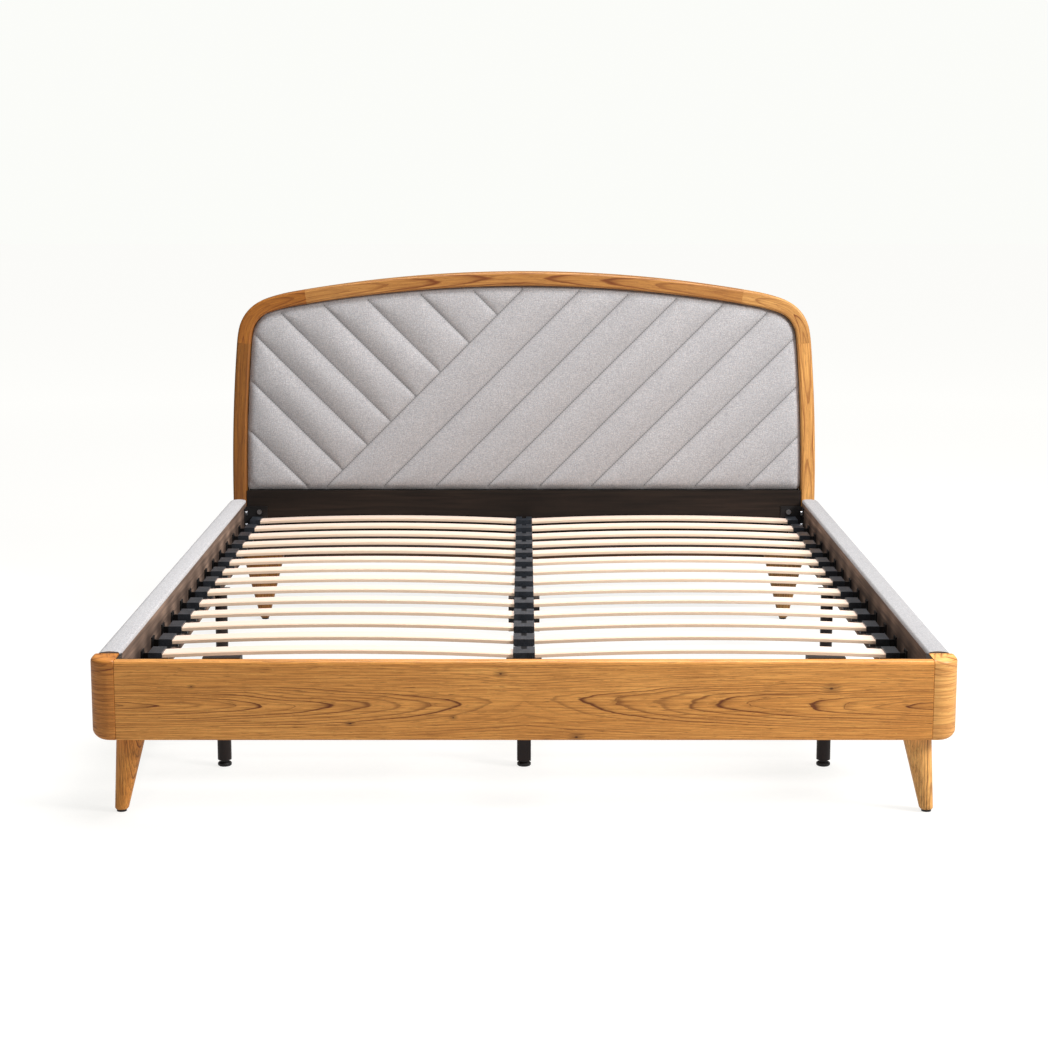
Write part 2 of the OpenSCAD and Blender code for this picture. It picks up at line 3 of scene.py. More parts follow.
from functools import partialmethod
from math import copysign, cos, pi, radians, sin, sqrt

import bmesh
import bpy
import numpy as np
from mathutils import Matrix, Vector


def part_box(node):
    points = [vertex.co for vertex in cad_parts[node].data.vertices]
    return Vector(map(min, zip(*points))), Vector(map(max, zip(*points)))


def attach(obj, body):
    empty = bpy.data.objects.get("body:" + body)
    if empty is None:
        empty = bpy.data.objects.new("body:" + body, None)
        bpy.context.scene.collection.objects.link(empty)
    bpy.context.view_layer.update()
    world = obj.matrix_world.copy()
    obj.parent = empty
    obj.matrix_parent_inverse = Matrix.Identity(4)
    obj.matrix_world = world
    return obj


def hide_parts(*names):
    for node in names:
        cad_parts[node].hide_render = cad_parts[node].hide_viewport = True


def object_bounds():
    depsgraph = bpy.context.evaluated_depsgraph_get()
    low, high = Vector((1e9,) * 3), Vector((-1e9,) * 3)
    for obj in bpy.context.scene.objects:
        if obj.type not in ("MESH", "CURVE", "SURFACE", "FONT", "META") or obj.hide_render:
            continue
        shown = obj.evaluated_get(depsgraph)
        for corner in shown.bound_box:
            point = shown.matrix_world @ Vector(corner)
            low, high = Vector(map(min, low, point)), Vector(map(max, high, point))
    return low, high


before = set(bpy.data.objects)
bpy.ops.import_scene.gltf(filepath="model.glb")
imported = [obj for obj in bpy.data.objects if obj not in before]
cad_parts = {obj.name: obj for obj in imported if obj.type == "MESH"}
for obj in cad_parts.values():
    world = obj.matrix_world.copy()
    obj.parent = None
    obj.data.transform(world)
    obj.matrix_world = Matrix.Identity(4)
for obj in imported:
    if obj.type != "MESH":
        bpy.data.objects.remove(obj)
cad_low, cad_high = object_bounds()

FRAME_BODY = "bed_frame"
SIDES = {"left": -1, "right": 1}
SLAT_ROWS = [n for n in sorted(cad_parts) if n.startswith("slat_row_")]

# ---- sizes from the frame

panel_low, panel_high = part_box("foot_panel")
post_low, post_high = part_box("foot_post_right")
cover_low, cover_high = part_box("rail_cover_right")
arch_low, arch_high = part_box("headboard_arch")
head_post_low, head_post_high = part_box("headboard_post_right")
pad_low, pad_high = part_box("headboard_pad")

HEAD_Y = arch_low.y
RIM_D = arch_high.y - arch_low.y
RIM_W = 0.040
RIM_FOOT_X = head_post_high.x
SLAT_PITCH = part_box(SLAT_ROWS[1])[0].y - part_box(SLAT_ROWS[0])[0].y

# The rim's arcs from the crown down, as radius and turn, the same as the CAD model's
CROWN_TURN = radians(10.0)
CROWN_CUT = radians(9.4)
SHOULDER = [(0.500, 8.8), (0.118, 59.5), (0.332, 6.5), (4.860, 5.2)]


# ---- shader helper


class Sock:
    """A shader value that takes arithmetic, so that a formula reads as one."""

    def __init__(self, tree, socket):
        self.tree, self.socket = tree, socket

    def apply(self, operation, *others, clamp=False):
        node = self.tree.nodes.new("ShaderNodeMath")
        node.operation = operation
        node.use_clamp = clamp
        for i, value in enumerate((self, *others)):
            if isinstance(value, Sock):
                self.tree.links.new(value.socket, node.inputs[i])
            else:
                node.inputs[i].default_value = value
        return Sock(self.tree, node.outputs[0])

    def __rsub__(self, other):
        return self * -1.0 + other

    __add__ = __radd__ = partialmethod(apply, "ADD")
    __sub__ = partialmethod(apply, "SUBTRACT")
    __mul__ = __rmul__ = partialmethod(apply, "MULTIPLY")
    __truediv__ = partialmethod(apply, "DIVIDE")
    max = partialmethod(apply, "MAXIMUM")
    sin = partialmethod(apply, "SINE")
    abs = partialmethod(apply, "ABSOLUTE")
    fract = partialmethod(apply, "FRACT")
    floor = partialmethod(apply, "FLOOR")
    sqrt = partialmethod(apply, "SQRT")
    clamp = partialmethod(apply, "ADD", 0.0, clamp=True)


class Shader:
    """A node material, built piece by piece."""

    def __init__(self, name):
        self.mat = bpy.data.materials.new(name)
        self.mat.use_nodes = True
        self.tree = self.mat.node_tree
        self.bsdf = self.tree.nodes["Principled BSDF"]

    def put(self, socket, value):
        """Link a shader value to a socket, or set a plain one. A colour may leave out its alpha."""
        if isinstance(value, Sock):
            self.tree.links.new(value.socket, socket)
        else:
            socket.default_value = (*value, 1.0)[:4] if socket.type == "RGBA" else value

    def new(self, kind, **inputs):
        node = self.tree.nodes.new(kind)
        for key, value in inputs.items():
            self.put(node.inputs[key.replace("_", " ")], value)
        return node

    def value(self, kind, output=0, **inputs):
        """The output of a new node, whose inputs are given by name."""
        return Sock(self.tree, self.new(kind, **inputs).outputs[output])

    def attribute(self, name):
        node = self.new("ShaderNodeAttribute")
        node.attribute_name = name
        return Sock(self.tree, node.outputs["Vector"])

    def object_point(self):
        return self.value("ShaderNodeTexCoord", "Object")

    def split(self, vector):
        return [Sock(self.tree, s) for s in self.new("ShaderNodeSeparateXYZ", Vector=vector).outputs]

    def join(self, x, y, z):
        return self.value("ShaderNodeCombineXYZ", X=x, Y=y, Z=z)

    def noise(self, vector, scale, detail=2.0, roughness=0.5):
        return self.value(
            "ShaderNodeTexNoise", Vector=vector, Scale=scale, Detail=detail, Roughness=roughness
        )

    def ramp(self, value, stops):
        node = self.new("ShaderNodeValToRGB", Fac=value)
        ramp = node.color_ramp
        while len(ramp.elements) < len(stops):
            ramp.elements.new(0.5)
        for element, (place, grey) in zip(ramp.elements, stops):
            element.position = place
            element.color = (grey, grey, grey, 1.0)
        return Sock(self.tree, node.outputs[0])

    def levels(self, value, low, high, to_low=0.0, to_high=1.0):
        return self.value(
            "ShaderNodeMapRange", Value=value, From_Min=low, From_Max=high, To_Min=to_low, To_Max=to_high
        )

    def mix(self, share, a, b):
        node = self.tree.nodes.new("ShaderNodeMix")
        node.data_type = "RGBA"
        for i, value in ((0, share), (6, a), (7, b)):
            self.put(node.inputs[i], value)
        return Sock(self.tree, node.outputs[2])

    def bump(self, height, strength, distance):
        return self.value("ShaderNodeBump", Height=height, Strength=strength, Distance=distance)

    def finish(self, **inputs):
        for key, value in inputs.items():
            self.put(self.bsdf.inputs[key.replace("_", " ")], value)
        return self.mat


def srgb(r, g, b):
    """A colour given in screen values from 0 to 255."""
    def linear(c):
        c /= 255
        return c / 12.92 if c <= 0.04045 else ((c + 0.055) / 1.055) ** 2.4
    return (linear(r), linear(g), linear(b))


def shade(colour, share, most=1.0):
    """A colour made darker or lighter by a share, with no channel above a limit."""
    return tuple(min(most, c * share) for c in colour)


# ---- materials


def oak(name, seed, light, mid, dark, ring=0.0042, figure=0.061, centre=0.0, pith=0.004, half=0.81,
        knots=()):
    """Oak that is cut from a log whose axis leans against the board, so that its rings make
    cathedrals. It reads the grain attribute: along, across and into the board, in metres."""
    s = Shader(name)
    along, across, depth = s.split(s.attribute("grain"))
    u, v, w = along + seed * 3.1, across + seed * 1.7, depth + seed * 2.3

    def vary(stretch, crowd, detail, roughness=0.5):
        return s.noise(s.join(u * stretch, v * crowd, w * crowd), 1.0, detail, roughness)

    slow = vary(1.3, 9.0, 2.0) - 0.5
    wander = vary(5.0, 32.0, 3.0) - 0.5
    fine = vary(18.0, 170.0, 3.0) - 0.5
    reach = across - centre + slow * 0.026 + wander * 0.008
    spots = None
    for ku, kv, size in knots:
        du, dv = (along - ku) / 1.7, across - kv
        gap = (du * du + dv * dv).sqrt()
        swirl = s.levels(gap, 0.0, size * 7.0, 1.0, 0.0)
        reach = reach + swirl * swirl * size * 1.6
        spot = s.levels(gap + wander * 0.004, size * 0.35, size * 1.15, 1.0, 0.0)
        halo = s.levels(gap, size, size * 3.4, 0.45, 0.0)
        spots = spot.max(halo) if spots is None else spots.max(spot.max(halo))
    rise = (half - along.abs()) * figure + pith + slow * 0.022
    radius = (reach * reach + (rise + depth) * (rise + depth)).sqrt() + wander * 0.0032 + fine * 0.0013
    rings = (radius / ring).fract()
    year = s.noise(s.join((radius / ring).floor() * 1.37, seed, 0.0), 1.0, 0.0)
    late = s.ramp(rings, [
        (0.00, 0.85), (0.07, 0.08), (0.40, 0.0), (0.76, 0.26), (0.92, 1.0), (1.00, 0.85),
    ])
    tongue = s.levels((across - centre).abs() - rise.abs() * 0.9, 0.006, 0.040, 1.0, 0.45)
    late = late * s.levels(year, 0.40, 0.58, 0.15, 1.0) * tongue
    streak = vary(7.0, 300.0, 5.0, 0.68)
    band = vary(3.0, 95.0, 3.0, 0.55)
    pores = vary(30.0, 640.0, 3.0, 0.62)
    pore_mask = s.levels(pores, 0.55, 0.67) * s.levels(rings, 0.60, 0.20, 0.45, 1.0)
    fleck = vary(120.0, 260.0, 2.0)
    patch = vary(1.7, 6.0, 2.0)
    base = s.mix(s.levels(patch, 0.30, 0.70, 0.0, 0.75), light, mid)
    base = s.mix(s.levels(band, 0.38, 0.66, 0.0, 0.55), base, mid)
    base = s.mix(s.levels(streak, 0.42, 0.64, 0.0, 0.80), base, tuple((a + b) / 2 for a, b in zip(mid, dark)))
    base = s.mix(s.levels(streak, 0.42, 0.30, 0.0, 0.45), base, shade(light, 1.25))
    base = s.mix(s.levels(fleck, 0.60, 0.72, 0.0, 0.22), base, shade(light, 1.3))
    base = s.mix(late.clamp(), base, dark)
    base = s.mix((pore_mask * 0.70).clamp(), base, shade(dark, 0.45))
    if spots is not None:
        base = s.mix((spots * 0.92).clamp(), base, shade(dark, 0.35))
    rough = s.levels(streak, 0.3, 0.8, 0.42, 0.60) + pore_mask * 0.15
    relief = streak * 0.35 - pore_mask * 0.9 - late * 0.25
    return s.finish(
        Base_Color=base, Roughness=rough, Normal=s.bump(relief, 0.32, 0.0006),
        Specular_IOR_Level=0.32, Coat_Weight=0.16, Coat_Roughness=0.28,
    )


# Length of a stitch with the gap after it
STITCH = 0.0065


def woven(name, thread, light, dark, fleck, cool, pitch=0.0016, sheen=0.25, stitched=False):
    """Plain weave with flecks of other colours. It reads the grain attribute, in metres."""
    s = Shader(name)
    across, along, _ = s.split(s.attribute("grain"))
    turn = 2 * pi / pitch
    warp = (across * turn).sin() * 0.5 + 0.5
    weft = (along * turn).sin() * 0.5 + 0.5
    check = ((across / pitch).floor() + (along / pitch).floor()) * 0.5
    over = (check.fract() * 2.0).clamp()
    weave = warp * over + weft * (over * -1.0 + 1.0)

    def vary(wide, high, seed, roughness=0.5):
        return s.noise(s.join(across * wide, along * high, seed), 1.0, 3.0, roughness)

    yarn = vary(90.0, 520.0, 0.3, 0.6)
    slub = vary(520.0, 90.0, 7.3, 0.6)
    cloud = vary(6.0, 6.0, 2.1)
    salt = vary(330.0, 330.0, 4.0, 0.75)
    hue = vary(210.0, 210.0, 9.0, 0.7)
    base = s.mix(s.levels(yarn * 0.5 + slub * 0.5, 0.38, 0.62), dark, light)
    base = s.mix(s.levels(salt, 0.42, 0.66, 0.0, 0.85), base, dark)
    base = s.mix(s.levels(salt, 0.46, 0.32, 0.0, 0.90), base, thread)
    base = s.mix(s.levels(hue, 0.50, 0.66, 0.0, 0.75), base, fleck)
    base = s.mix(s.levels(hue, 0.46, 0.34, 0.0, 0.60), base, cool)
    base = s.mix(s.levels(cloud, 0.3, 0.7, 0.0, 0.15), base, dark)
    # Painted shade where the threads dip between one another
    base = s.mix((weave * -0.35 + 0.35).clamp(), base, shade(dark, 0.70))
    height = weave * 0.8 + yarn * 0.3 + slub * 0.3
    normal = s.bump(height, 0.35, 0.0006)
    if stitched:
        gap, run, _ = s.split(s.attribute("seam"))
        near = s.levels(gap, 0.0012, 0.0030, 1.0, 0.0)
        stitch = (run / STITCH).fract()
        dash = s.levels(stitch, 0.16, 0.24) * s.levels(stitch, 0.92, 0.84)
        base = s.mix((near * dash * 0.55).clamp(), base, shade(light, 1.12))
        base = s.mix((near * (dash * -1.0 + 1.0) * 0.55).clamp(), base, shade(dark, 0.5))
        # Painted shade along the seam: a soft darkening into its crease, and a dark line in its groove
        seam_crease_shade = s.levels(gap, 0.0, 0.007, 1.0, 0.0)
        base = s.mix((seam_crease_shade * 0.30).clamp(), base, shade(dark, 0.6))
        base = s.mix(s.levels(gap, 0.0006, 0.0024, 0.58, 0.0), base, shade(dark, 0.30))
    return s.finish(
        Base_Color=base, Roughness=0.92, Normal=normal, Sheen_Weight=sheen, Sheen_Roughness=0.5,
        Specular_IOR_Level=0.2,
    )


def birch(name, seed):
    """Pale birch plywood: a quiet face, and glued layers on the long edges."""
    s = Shader(name)
    along, across, depth = s.split(s.attribute("grain"))
    u, v = along + seed * 2.7, across + seed * 0.9
    line = s.noise(s.join(u * 5.0, v * 170.0, seed), 1.0, 4.0, 0.6)
    cloud = s.noise(s.join(u * 2.0, v * 12.0, seed + 4.0), 1.0, 2.0)
    fleck = s.noise(s.join(u * 45.0, v * 900.0, seed), 1.0, 2.0)
    ply = (depth * 5.0).fract()
    layer = s.levels((ply - 0.5).abs(), 0.34, 0.48)
    edge = s.levels((depth - 0.5).abs(), 0.42, 0.47, 1.0, 0.0)
    face = s.mix(s.levels(line, 0.35, 0.72), srgb(250, 228, 213), srgb(240, 212, 194))
    face = s.mix(s.levels(cloud, 0.35, 0.70, 0.0, 0.35), face, srgb(243, 217, 200))
    face = s.mix(s.levels(fleck, 0.62, 0.72, 0.0, 0.25), face, srgb(206, 172, 128))
    # A tan strip along the front of the top face: painted shade that widens the front edge's darker band
    front = s.levels(across, 0.003, 0.012, 0.90, 0.0)
    face = s.mix(front, face, srgb(234, 200, 172))
    # The long edges show the plies' own layers; their colours are also darkened as painted shade
    side = s.mix(layer * 0.75, srgb(242, 216, 192), srgb(226, 190, 162))
    side = s.mix(s.levels(line, 0.4, 0.7, 0.0, 0.3), side, srgb(222, 190, 148))
    base = s.mix(edge, face, side)
    return s.finish(
        Base_Color=base, Roughness=s.levels(line, 0.3, 0.7, 0.40, 0.55),
        Normal=s.bump(line + fleck * 0.5, 0.18, 0.0005), Coat_Weight=0.10, Coat_Roughness=0.3,
    )


def coated_steel(name, tint, worn, rough=0.42):
    """Powder coat with its orange peel, a little lighter where it is worn."""
    s = Shader(name)
    point = s.object_point()
    peel = s.noise(point, 900.0, 2.0)
    cloud = s.noise(point, 14.0, 3.0)
    scuff = s.noise(point, 160.0, 4.0, 0.65)
    base = s.mix(s.levels(cloud, 0.35, 0.7, 0.0, 0.5), tint, worn)
    base = s.mix(s.levels(scuff, 0.66, 0.76, 0.0, 0.5), base, shade(worn, 2.2))
    return s.finish(
        Base_Color=base, Roughness=s.levels(cloud, 0.3, 0.7, rough - 0.06, rough + 0.10),
        Normal=s.bump(peel, 0.16, 0.0005), Metallic=0.25, Specular_IOR_Level=0.45,
    )


def moulded(name, tint, light, rough=0.45):
    """Moulded plastic with a fine spark texture."""
    s = Shader(name)
    point = s.object_point()
    spark = s.noise(point, 620.0, 3.0, 0.7)
    cloud = s.noise(point, 40.0, 2.0)
    base = s.mix(s.levels(spark, 0.45, 0.72), tint, light)
    base = s.mix(s.levels(cloud, 0.4, 0.7, 0.0, 0.3), base, light)
    return s.finish(
        Base_Color=base, Roughness=s.levels(spark, 0.3, 0.7, rough - 0.08, rough + 0.12),
        Normal=s.bump(spark, 0.22, 0.0006),
    )


def dark_laminate(name, tint, brown, slat_shadow_share):
    """Dark laminated board with a faint wood print and a low sheen. Its soft dark blotches
    come back at the pitch of the slats, towards the bottom of the board: painted shadows of the slat rows."""
    s = Shader(name)
    x, y, z = s.split(s.object_point())
    vein = s.noise(s.join((x + y) * 4.0, z * 110.0, x * 4.0), 1.0, 4.0, 0.6)
    cloud = s.noise(s.join(x * 2.0, y * 2.4, z * 6.0), 1.0, 2.0)
    # Painted shadows of the slat rows: dark at their pitch, towards the bottom of the board only
    slat_shadow_wave = (y * (2 * pi / SLAT_PITCH) + cloud * 3.0).sin() * 0.5 + 0.5
    low = s.levels(z, 0.318, 0.268, 0.0, 1.0)
    base = s.mix(s.levels(vein, 0.35, 0.7, 0.25, 1.0), tint, brown)
    base = s.mix(s.levels(cloud, 0.42, 0.62, 0.0, 0.45), base, tint)
    base = s.mix((slat_shadow_wave * low * 0.80 * slat_shadow_share).clamp(), base, tint)
    return s.finish(
        Base_Color=base, Roughness=s.levels(vein, 0.3, 0.7, 0.62, 0.78),
        Normal=s.bump(vein, 0.10, 0.0004), Specular_IOR_Level=0.16,
    )


def plain_wood(name, light, dark, axis="X"):
    """Sawn timber in row coordinates, with its grain along one axis."""
    s = Shader(name)
    x, y, z = s.split(s.object_point())
    along, across, depth = (x, y, z) if axis == "X" else (z, x, y)
    vein = s.noise(s.join(along * 6.0, across * 160.0, depth * 160.0), 1.0, 4.0, 0.6)
    slow = s.noise(s.join(along * 1.5, across * 22.0, depth * 22.0), 1.0, 2.0)
    base = s.mix(s.levels(vein, 0.35, 0.70), light, dark)
    base = s.mix(s.levels(slow, 0.35, 0.65, 0.0, 0.45), base, dark)
    return s.finish(
        Base_Color=base, Roughness=s.levels(vein, 0.3, 0.7, 0.50, 0.66), Normal=s.bump(vein, 0.2, 0.0005)
    )


def chipboard(name):
    s = Shader(name)
    point = s.object_point()
    chips = s.value("ShaderNodeTexVoronoi", Vector=point, Scale=260.0)
    cloud = s.noise(point, 60.0, 3.0)
    base = s.mix(s.levels(chips, 0.1, 0.7), srgb(196, 160, 112), srgb(150, 112, 70))
    base = s.mix(s.levels(cloud, 0.4, 0.6, 0.0, 0.4), base, srgb(172, 134, 88))
    return s.finish(Base_Color=base, Roughness=0.8, Normal=s.bump(chips, 0.3, 0.0006))


def zinc(name):
    s = Shader(name)
    point = s.object_point()
    brushed = s.noise(point, 700.0, 3.0)
    base = s.mix(s.levels(brushed, 0.35, 0.7), srgb(226, 228, 232), srgb(178, 180, 186))
    return s.finish(
        Base_Color=base, Metallic=1.0, Roughness=s.levels(brushed, 0.3, 0.7, 0.22, 0.36),
        Normal=s.bump(brushed, 0.08, 0.0004),
    )


OAK = {"light": srgb(246, 180, 100), "mid": srgb(216, 148, 72), "dark": srgb(104, 52, 16)}


def toned(share, warmth=(1.0, 1.0, 1.0), soft=1.0):
    """The oak's colours, darker or lighter by a share, warmer or cooler, and with softer rings."""
    tones = {key: tuple(c * share * w for c, w in zip(colour, warmth)) for key, colour in OAK.items()}
    tones["dark"] = tuple(c * soft for c in tones["dark"])
    return tones


# Casts of red, green and blue. GOLDEN is the panel's own cast. The others, with the shares below,
# are painted light and shade: warmer casts darken the left-hand pieces as painted shade, and the paler cast
# lightens the right-hand pieces as a painted sheen.
SHADED = (1.0, 0.80, 0.45)
SHADE_REDDER = (1.06, 0.92, 0.76)
SHADE_BROWNER = (1.0, 0.88, 0.68)
GOLDEN = (1.0, 0.95, 0.86)
LIT_PALER = (1.0, 1.10, 1.25)

ARCH_TONE = toned(0.60, soft=1.9)
# Corners and posts of the rim: the left ones darker as painted shade, the right ones lighter as painted light
CORNER_TONE_AND_PAINTED_LIGHT = {"left": toned(0.50, SHADED, 1.7), "right": toned(0.74, LIT_PALER, 1.9)}
RIM_POST_TONE_AND_PAINTED_LIGHT = {"left": toned(0.34, SHADED, 1.5), "right": toned(0.90, LIT_PALER, 1.9)}
PANEL_TONE = toned(1.08, GOLDEN)
# Foot posts and legs: the left ones darker and warmer as painted shade, the right ones paler as painted
# light. The head legs are darker on both sides as painted shade.
FOOT_POST_TONE_AND_PAINTED_LIGHT = {"left": toned(0.94, SHADE_REDDER, 1.6), "right": toned(1.0, LIT_PALER, 2.2)}
FOOT_LEG_TONE_AND_PAINTED_LIGHT = {"left": toned(1.08, SHADE_BROWNER), "right": toned(1.2, LIT_PALER)}
HEAD_LEG_TONE_AND_PAINTED_LIGHT = {"left": toned(0.45, SHADE_BROWNER), "right": toned(0.45, LIT_PALER)}

WEAVE = {
    "thread": srgb(232, 231, 232), "light": srgb(210, 209, 210), "dark": srgb(152, 151, 155),
    "fleck": srgb(208, 199, 197), "cool": srgb(182, 190, 202),
}

# The rails are covered in the same cloth, painted lighter on the left as painted light and darker on the
# right as painted shade
RAIL_WEAVE_LIT_AND_SHADED = {
    side: {key: shade(colour, share, 0.95) for key, colour in WEAVE.items()}
    for side, share in (("left", 1.12), ("right", 0.80))
}

# ---- mesh helpers

# Edges sharper than this many degrees get a radius on CAD nodes
BEVEL_ABOVE = 35


def make_piece(name, points, faces, material, slot, grain=None, seam=None, sharp=40):
    """A piece from points and faces, with the vectors its material reads on each point."""
    mesh = bpy.data.meshes.new(name)
    mesh.from_pydata([tuple(map(float, p)) for p in points], [], [tuple(map(int, f)) for f in faces])
    for key, values in (("grain", grain), ("seam", seam)):
        if values is not None:
            attribute = mesh.attributes.new(key, "FLOAT_VECTOR", "POINT")
            attribute.data.foreach_set("vector", np.asarray(values, np.float32).ravel())
    mesh.update()
    piece = bpy.data.objects.new(name, mesh)
    bpy.context.scene.collection.objects.link(piece)
    bm = bmesh.new()
    bm.from_mesh(mesh)
    bmesh.ops.recalc_face_normals(bm, faces=bm.faces)
    bm.to_mesh(mesh)
    bm.free()
    mesh.shade_smooth()
    mesh.set_sharp_from_angle(angle=radians(sharp))
    mesh.materials.append(material)
    return piece


def loft(points, count):
    """Points and faces of a skin over a count of equal rings, each closed on itself."""
    points = np.asarray(points, float)
    around = len(points) // count
    faces = []
    for i in range(count - 1):
        for j in range(around):
            k = (j + 1) % around
            faces.append((i * around + j, i * around + k, (i + 1) * around + k, (i + 1) * around + j))
    faces.append(tuple(range(around))[::-1])
    faces.append(tuple(range((count - 1) * around, count * around)))
    return points, faces


def rounded_rectangle(width, height, radii, steps=5, hold=0.0004):
    """An outline from 0 to width and 0 to height, anticlockwise, with a radius at each corner
    in the order low left, low right, high right, high left. Points that hold the flats lie
    close to the ends of each radius."""
    corners = [(0, 0, 180), (width, 0, 270), (width, height, 0), (0, height, 90)]
    points = []
    for (x, y, start), r in zip(corners, radii):
        cx = x + r if x == 0 else x - r
        cy = y + r if y == 0 else y - r
        for k in range(-1, steps + 2):
            a = radians(start + 90 * min(max(k, 0), steps) / steps)
            slide = hold * ((k > steps) - (k < 0))
            points.append((
                cx + r * cos(a) - slide * sin(a),
                cy + r * sin(a) + slide * cos(a),
            ))
    return np.array(points)


def shrink(section, amount):
    """A section drawn in towards its middle by an amount, for a small bevel at an end."""
    middle = (section.min(0) + section.max(0)) / 2
    half = (section.max(0) - section.min(0)) / 2
    return middle + (section - middle) * (1 - amount / half)


def end_bevels(stations, bevel):
    """Stations along a piece, with its two ends doubled for a small bevel: (place, shrink)."""
    first, last = stations[0], stations[-1]
    step = bevel if last > first else -bevel
    middle = [(place, 0.0) for place in stations[1:-1]]
    return [(first, bevel), (first + step, 0.0), *middle, (last - step, 0.0), (last, bevel)]


def ride(piece, replaced):
    """A piece that moves with the frame and stands for one CAD node."""
    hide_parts(replaced)
    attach(piece, FRAME_BODY)


def dress(name, material, bevel, segments):
    """A CAD node that keeps its shape, with a detailed material and a radius on its edges."""
    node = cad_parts[name]
    node.data.materials.clear()
    node.data.materials.append(material)
    if bevel:
        modifier = node.modifiers.new("edge", "BEVEL")
        modifier.width = bevel
        modifier.segments = segments
        modifier.limit_method = "ANGLE"
        modifier.angle_limit = radians(BEVEL_ABOVE)
        modifier.harden_normals = False


# ---- the rim's path


def rim_arcs():
    """Radius, start heading, end heading and centre of each arc on the right side."""
    reach, heading = 0.0, CROWN_TURN
    for radius, turn in SHOULDER:
        end = heading + radians(turn)
        reach += radius * (sin(end) - sin(heading))
        heading = end
    crown = (RIM_FOOT_X - reach) / sin(CROWN_TURN)
    arcs, x, z, heading = [], 0.0, arch_high.z, 0.0
    for radius, turn in [(crown, CROWN_TURN), *((r, radians(t)) for r, t in SHOULDER)]:
        centre = (x - radius * sin(heading), z - radius * cos(heading))
        end = heading + turn
        arcs.append((radius, heading, end, centre))
        x = centre[0] + radius * sin(end)
        z = centre[1] + radius * cos(end)
        heading = end
    return arcs


ARCS = rim_arcs()
CORNER_END = ARCS[4][1]

# Where the grain starts in each corner and each post, along its log
CORNER_RUN = 0.02
RIM_POST_RUN = -0.3


def rim_stations(h0, h1, spacing=0.012):
    """Places along the rim's outer line from one heading to another: (x, z, heading, run)."""
    stations, run = [], 0.0
    for radius, start, end, (cx, cz) in ARCS:
        a, b = max(start, h0), min(end, h1)
        if a >= b:
            continue
        count = max(2, round(radius * (b - a) / spacing))
        for k in range(1 if stations else 0, count + 1):
            h = a + (b - a) * k / count
            place = (cx + radius * sin(h), cz + radius * cos(h), h)
            stations.append((*place, run + radius * (h - a)))
        run += radius * (b - a)
    return stations


def rim_outline(inset, bottom, spacing=0.006):
    """The closed line inside the rim, clockwise from the crown, down to a height."""
    right = [(x - inset * sin(h), z - inset * cos(h))
             for x, z, h, _ in rim_stations(0.0, pi / 2, spacing)]
    right = [p for p in right if p[1] > bottom]
    right.append((right[-1][0], bottom))
    left = [(-x, z) for x, z in reversed(right[1:])]
    return np.array(right + left)


RIM_RADII = (0.007, 0.007, 0.004, 0.006)
RIM_SECTION = rounded_rectangle(RIM_W, RIM_D, RIM_RADII, 6)
RIM_JOINT_BEVEL = 0.0004


def rim_piece(name, stations, side, material, tail=None, run0=0.0):
    """A stretch of the oak rim, swept along its stations. A tail runs straight down."""
    places = [(x, z, h, run + run0) for x, z, h, run in stations]
    if tail is not None:
        x, z, h, run = places[-1]
        places += [(x, z - d, h, run + d) for d in np.linspace(0, z - tail, 8)[1:]]
    bevel = RIM_JOINT_BEVEL
    x, z, h, run = places[0]
    start = (x + bevel * cos(h), z - bevel * sin(h), h, run + bevel)
    x, z, h, run = places[-1]
    end = (x - bevel * cos(h), z + bevel * sin(h), h, run - bevel)
    rows = [(places[0], bevel), (start, 0.0), *((p, 0.0) for p in places[1:-1]),
            (end, 0.0), (places[-1], bevel)]
    rings, grain = [], []
    for (x, z, h, run), cut in rows:
        section = shrink(RIM_SECTION, cut) if cut else RIM_SECTION
        for a, b in section:
            rings.append((side * (x - a * sin(h)), HEAD_Y + b, z - a * cos(h)))
            grain.append((run, a - RIM_W / 2, b))
    return make_piece(name, *loft(rings, len(rows)), material, "oak_rim", grain)


def build_arch():
    """The arch over the headboard, from shoulder to shoulder."""
    right = rim_stations(0.0, CROWN_CUT)
    left = [(-x, z, -h, -run) for x, z, h, run in reversed(right[1:])]
    look = oak("oak_rim_arch", 1.0, **ARCH_TONE, ring=0.0060, figure=0.040, pith=0.010, half=0.7)
    ride(rim_piece("rim_arch", left + right, 1, look), "headboard_arch")


def build_corner(side_name, side):
    """A bent corner of the rim, below the shoulder."""
    look = oak(f"oak_rim_corner_{side_name}", 2.0 + side, **CORNER_TONE_AND_PAINTED_LIGHT[side_name],
               ring=0.0055, figure=0.08, pith=0.006, half=0.25)
    stations = rim_stations(CROWN_CUT, CORNER_END)
    piece = rim_piece(f"rim_corner_{side_name}", stations, side, look, run0=CORNER_RUN)
    ride(piece, f"headboard_corner_{side_name}")


def build_rim_post(side_name, side):
    """A post of the rim, from the corner down past the pad."""
    look = oak(f"oak_rim_post_{side_name}", 5.0 + side, **RIM_POST_TONE_AND_PAINTED_LIGHT[side_name],
               ring=0.0055, figure=0.03, pith=0.008, half=0.5)
    stations = rim_stations(CORNER_END, pi / 2)
    piece = rim_piece(
        f"rim_post_{side_name}", stations, side, look, tail=head_post_low.z, run0=RIM_POST_RUN
    )
    ride(piece, f"headboard_post_{side_name}")


# ---- foot end

# Knots in the foot panel, from its middle: along, up, and radius
KNOTS = [
    (-0.046, 0.055, 0.0030), (0.104, -0.074, 0.0036), (0.608, 0.025, 0.0042),
    (-0.140, -0.034, 0.0020), (-0.658, 0.029, 0.0018), (-0.345, -0.046, 0.0022),
]

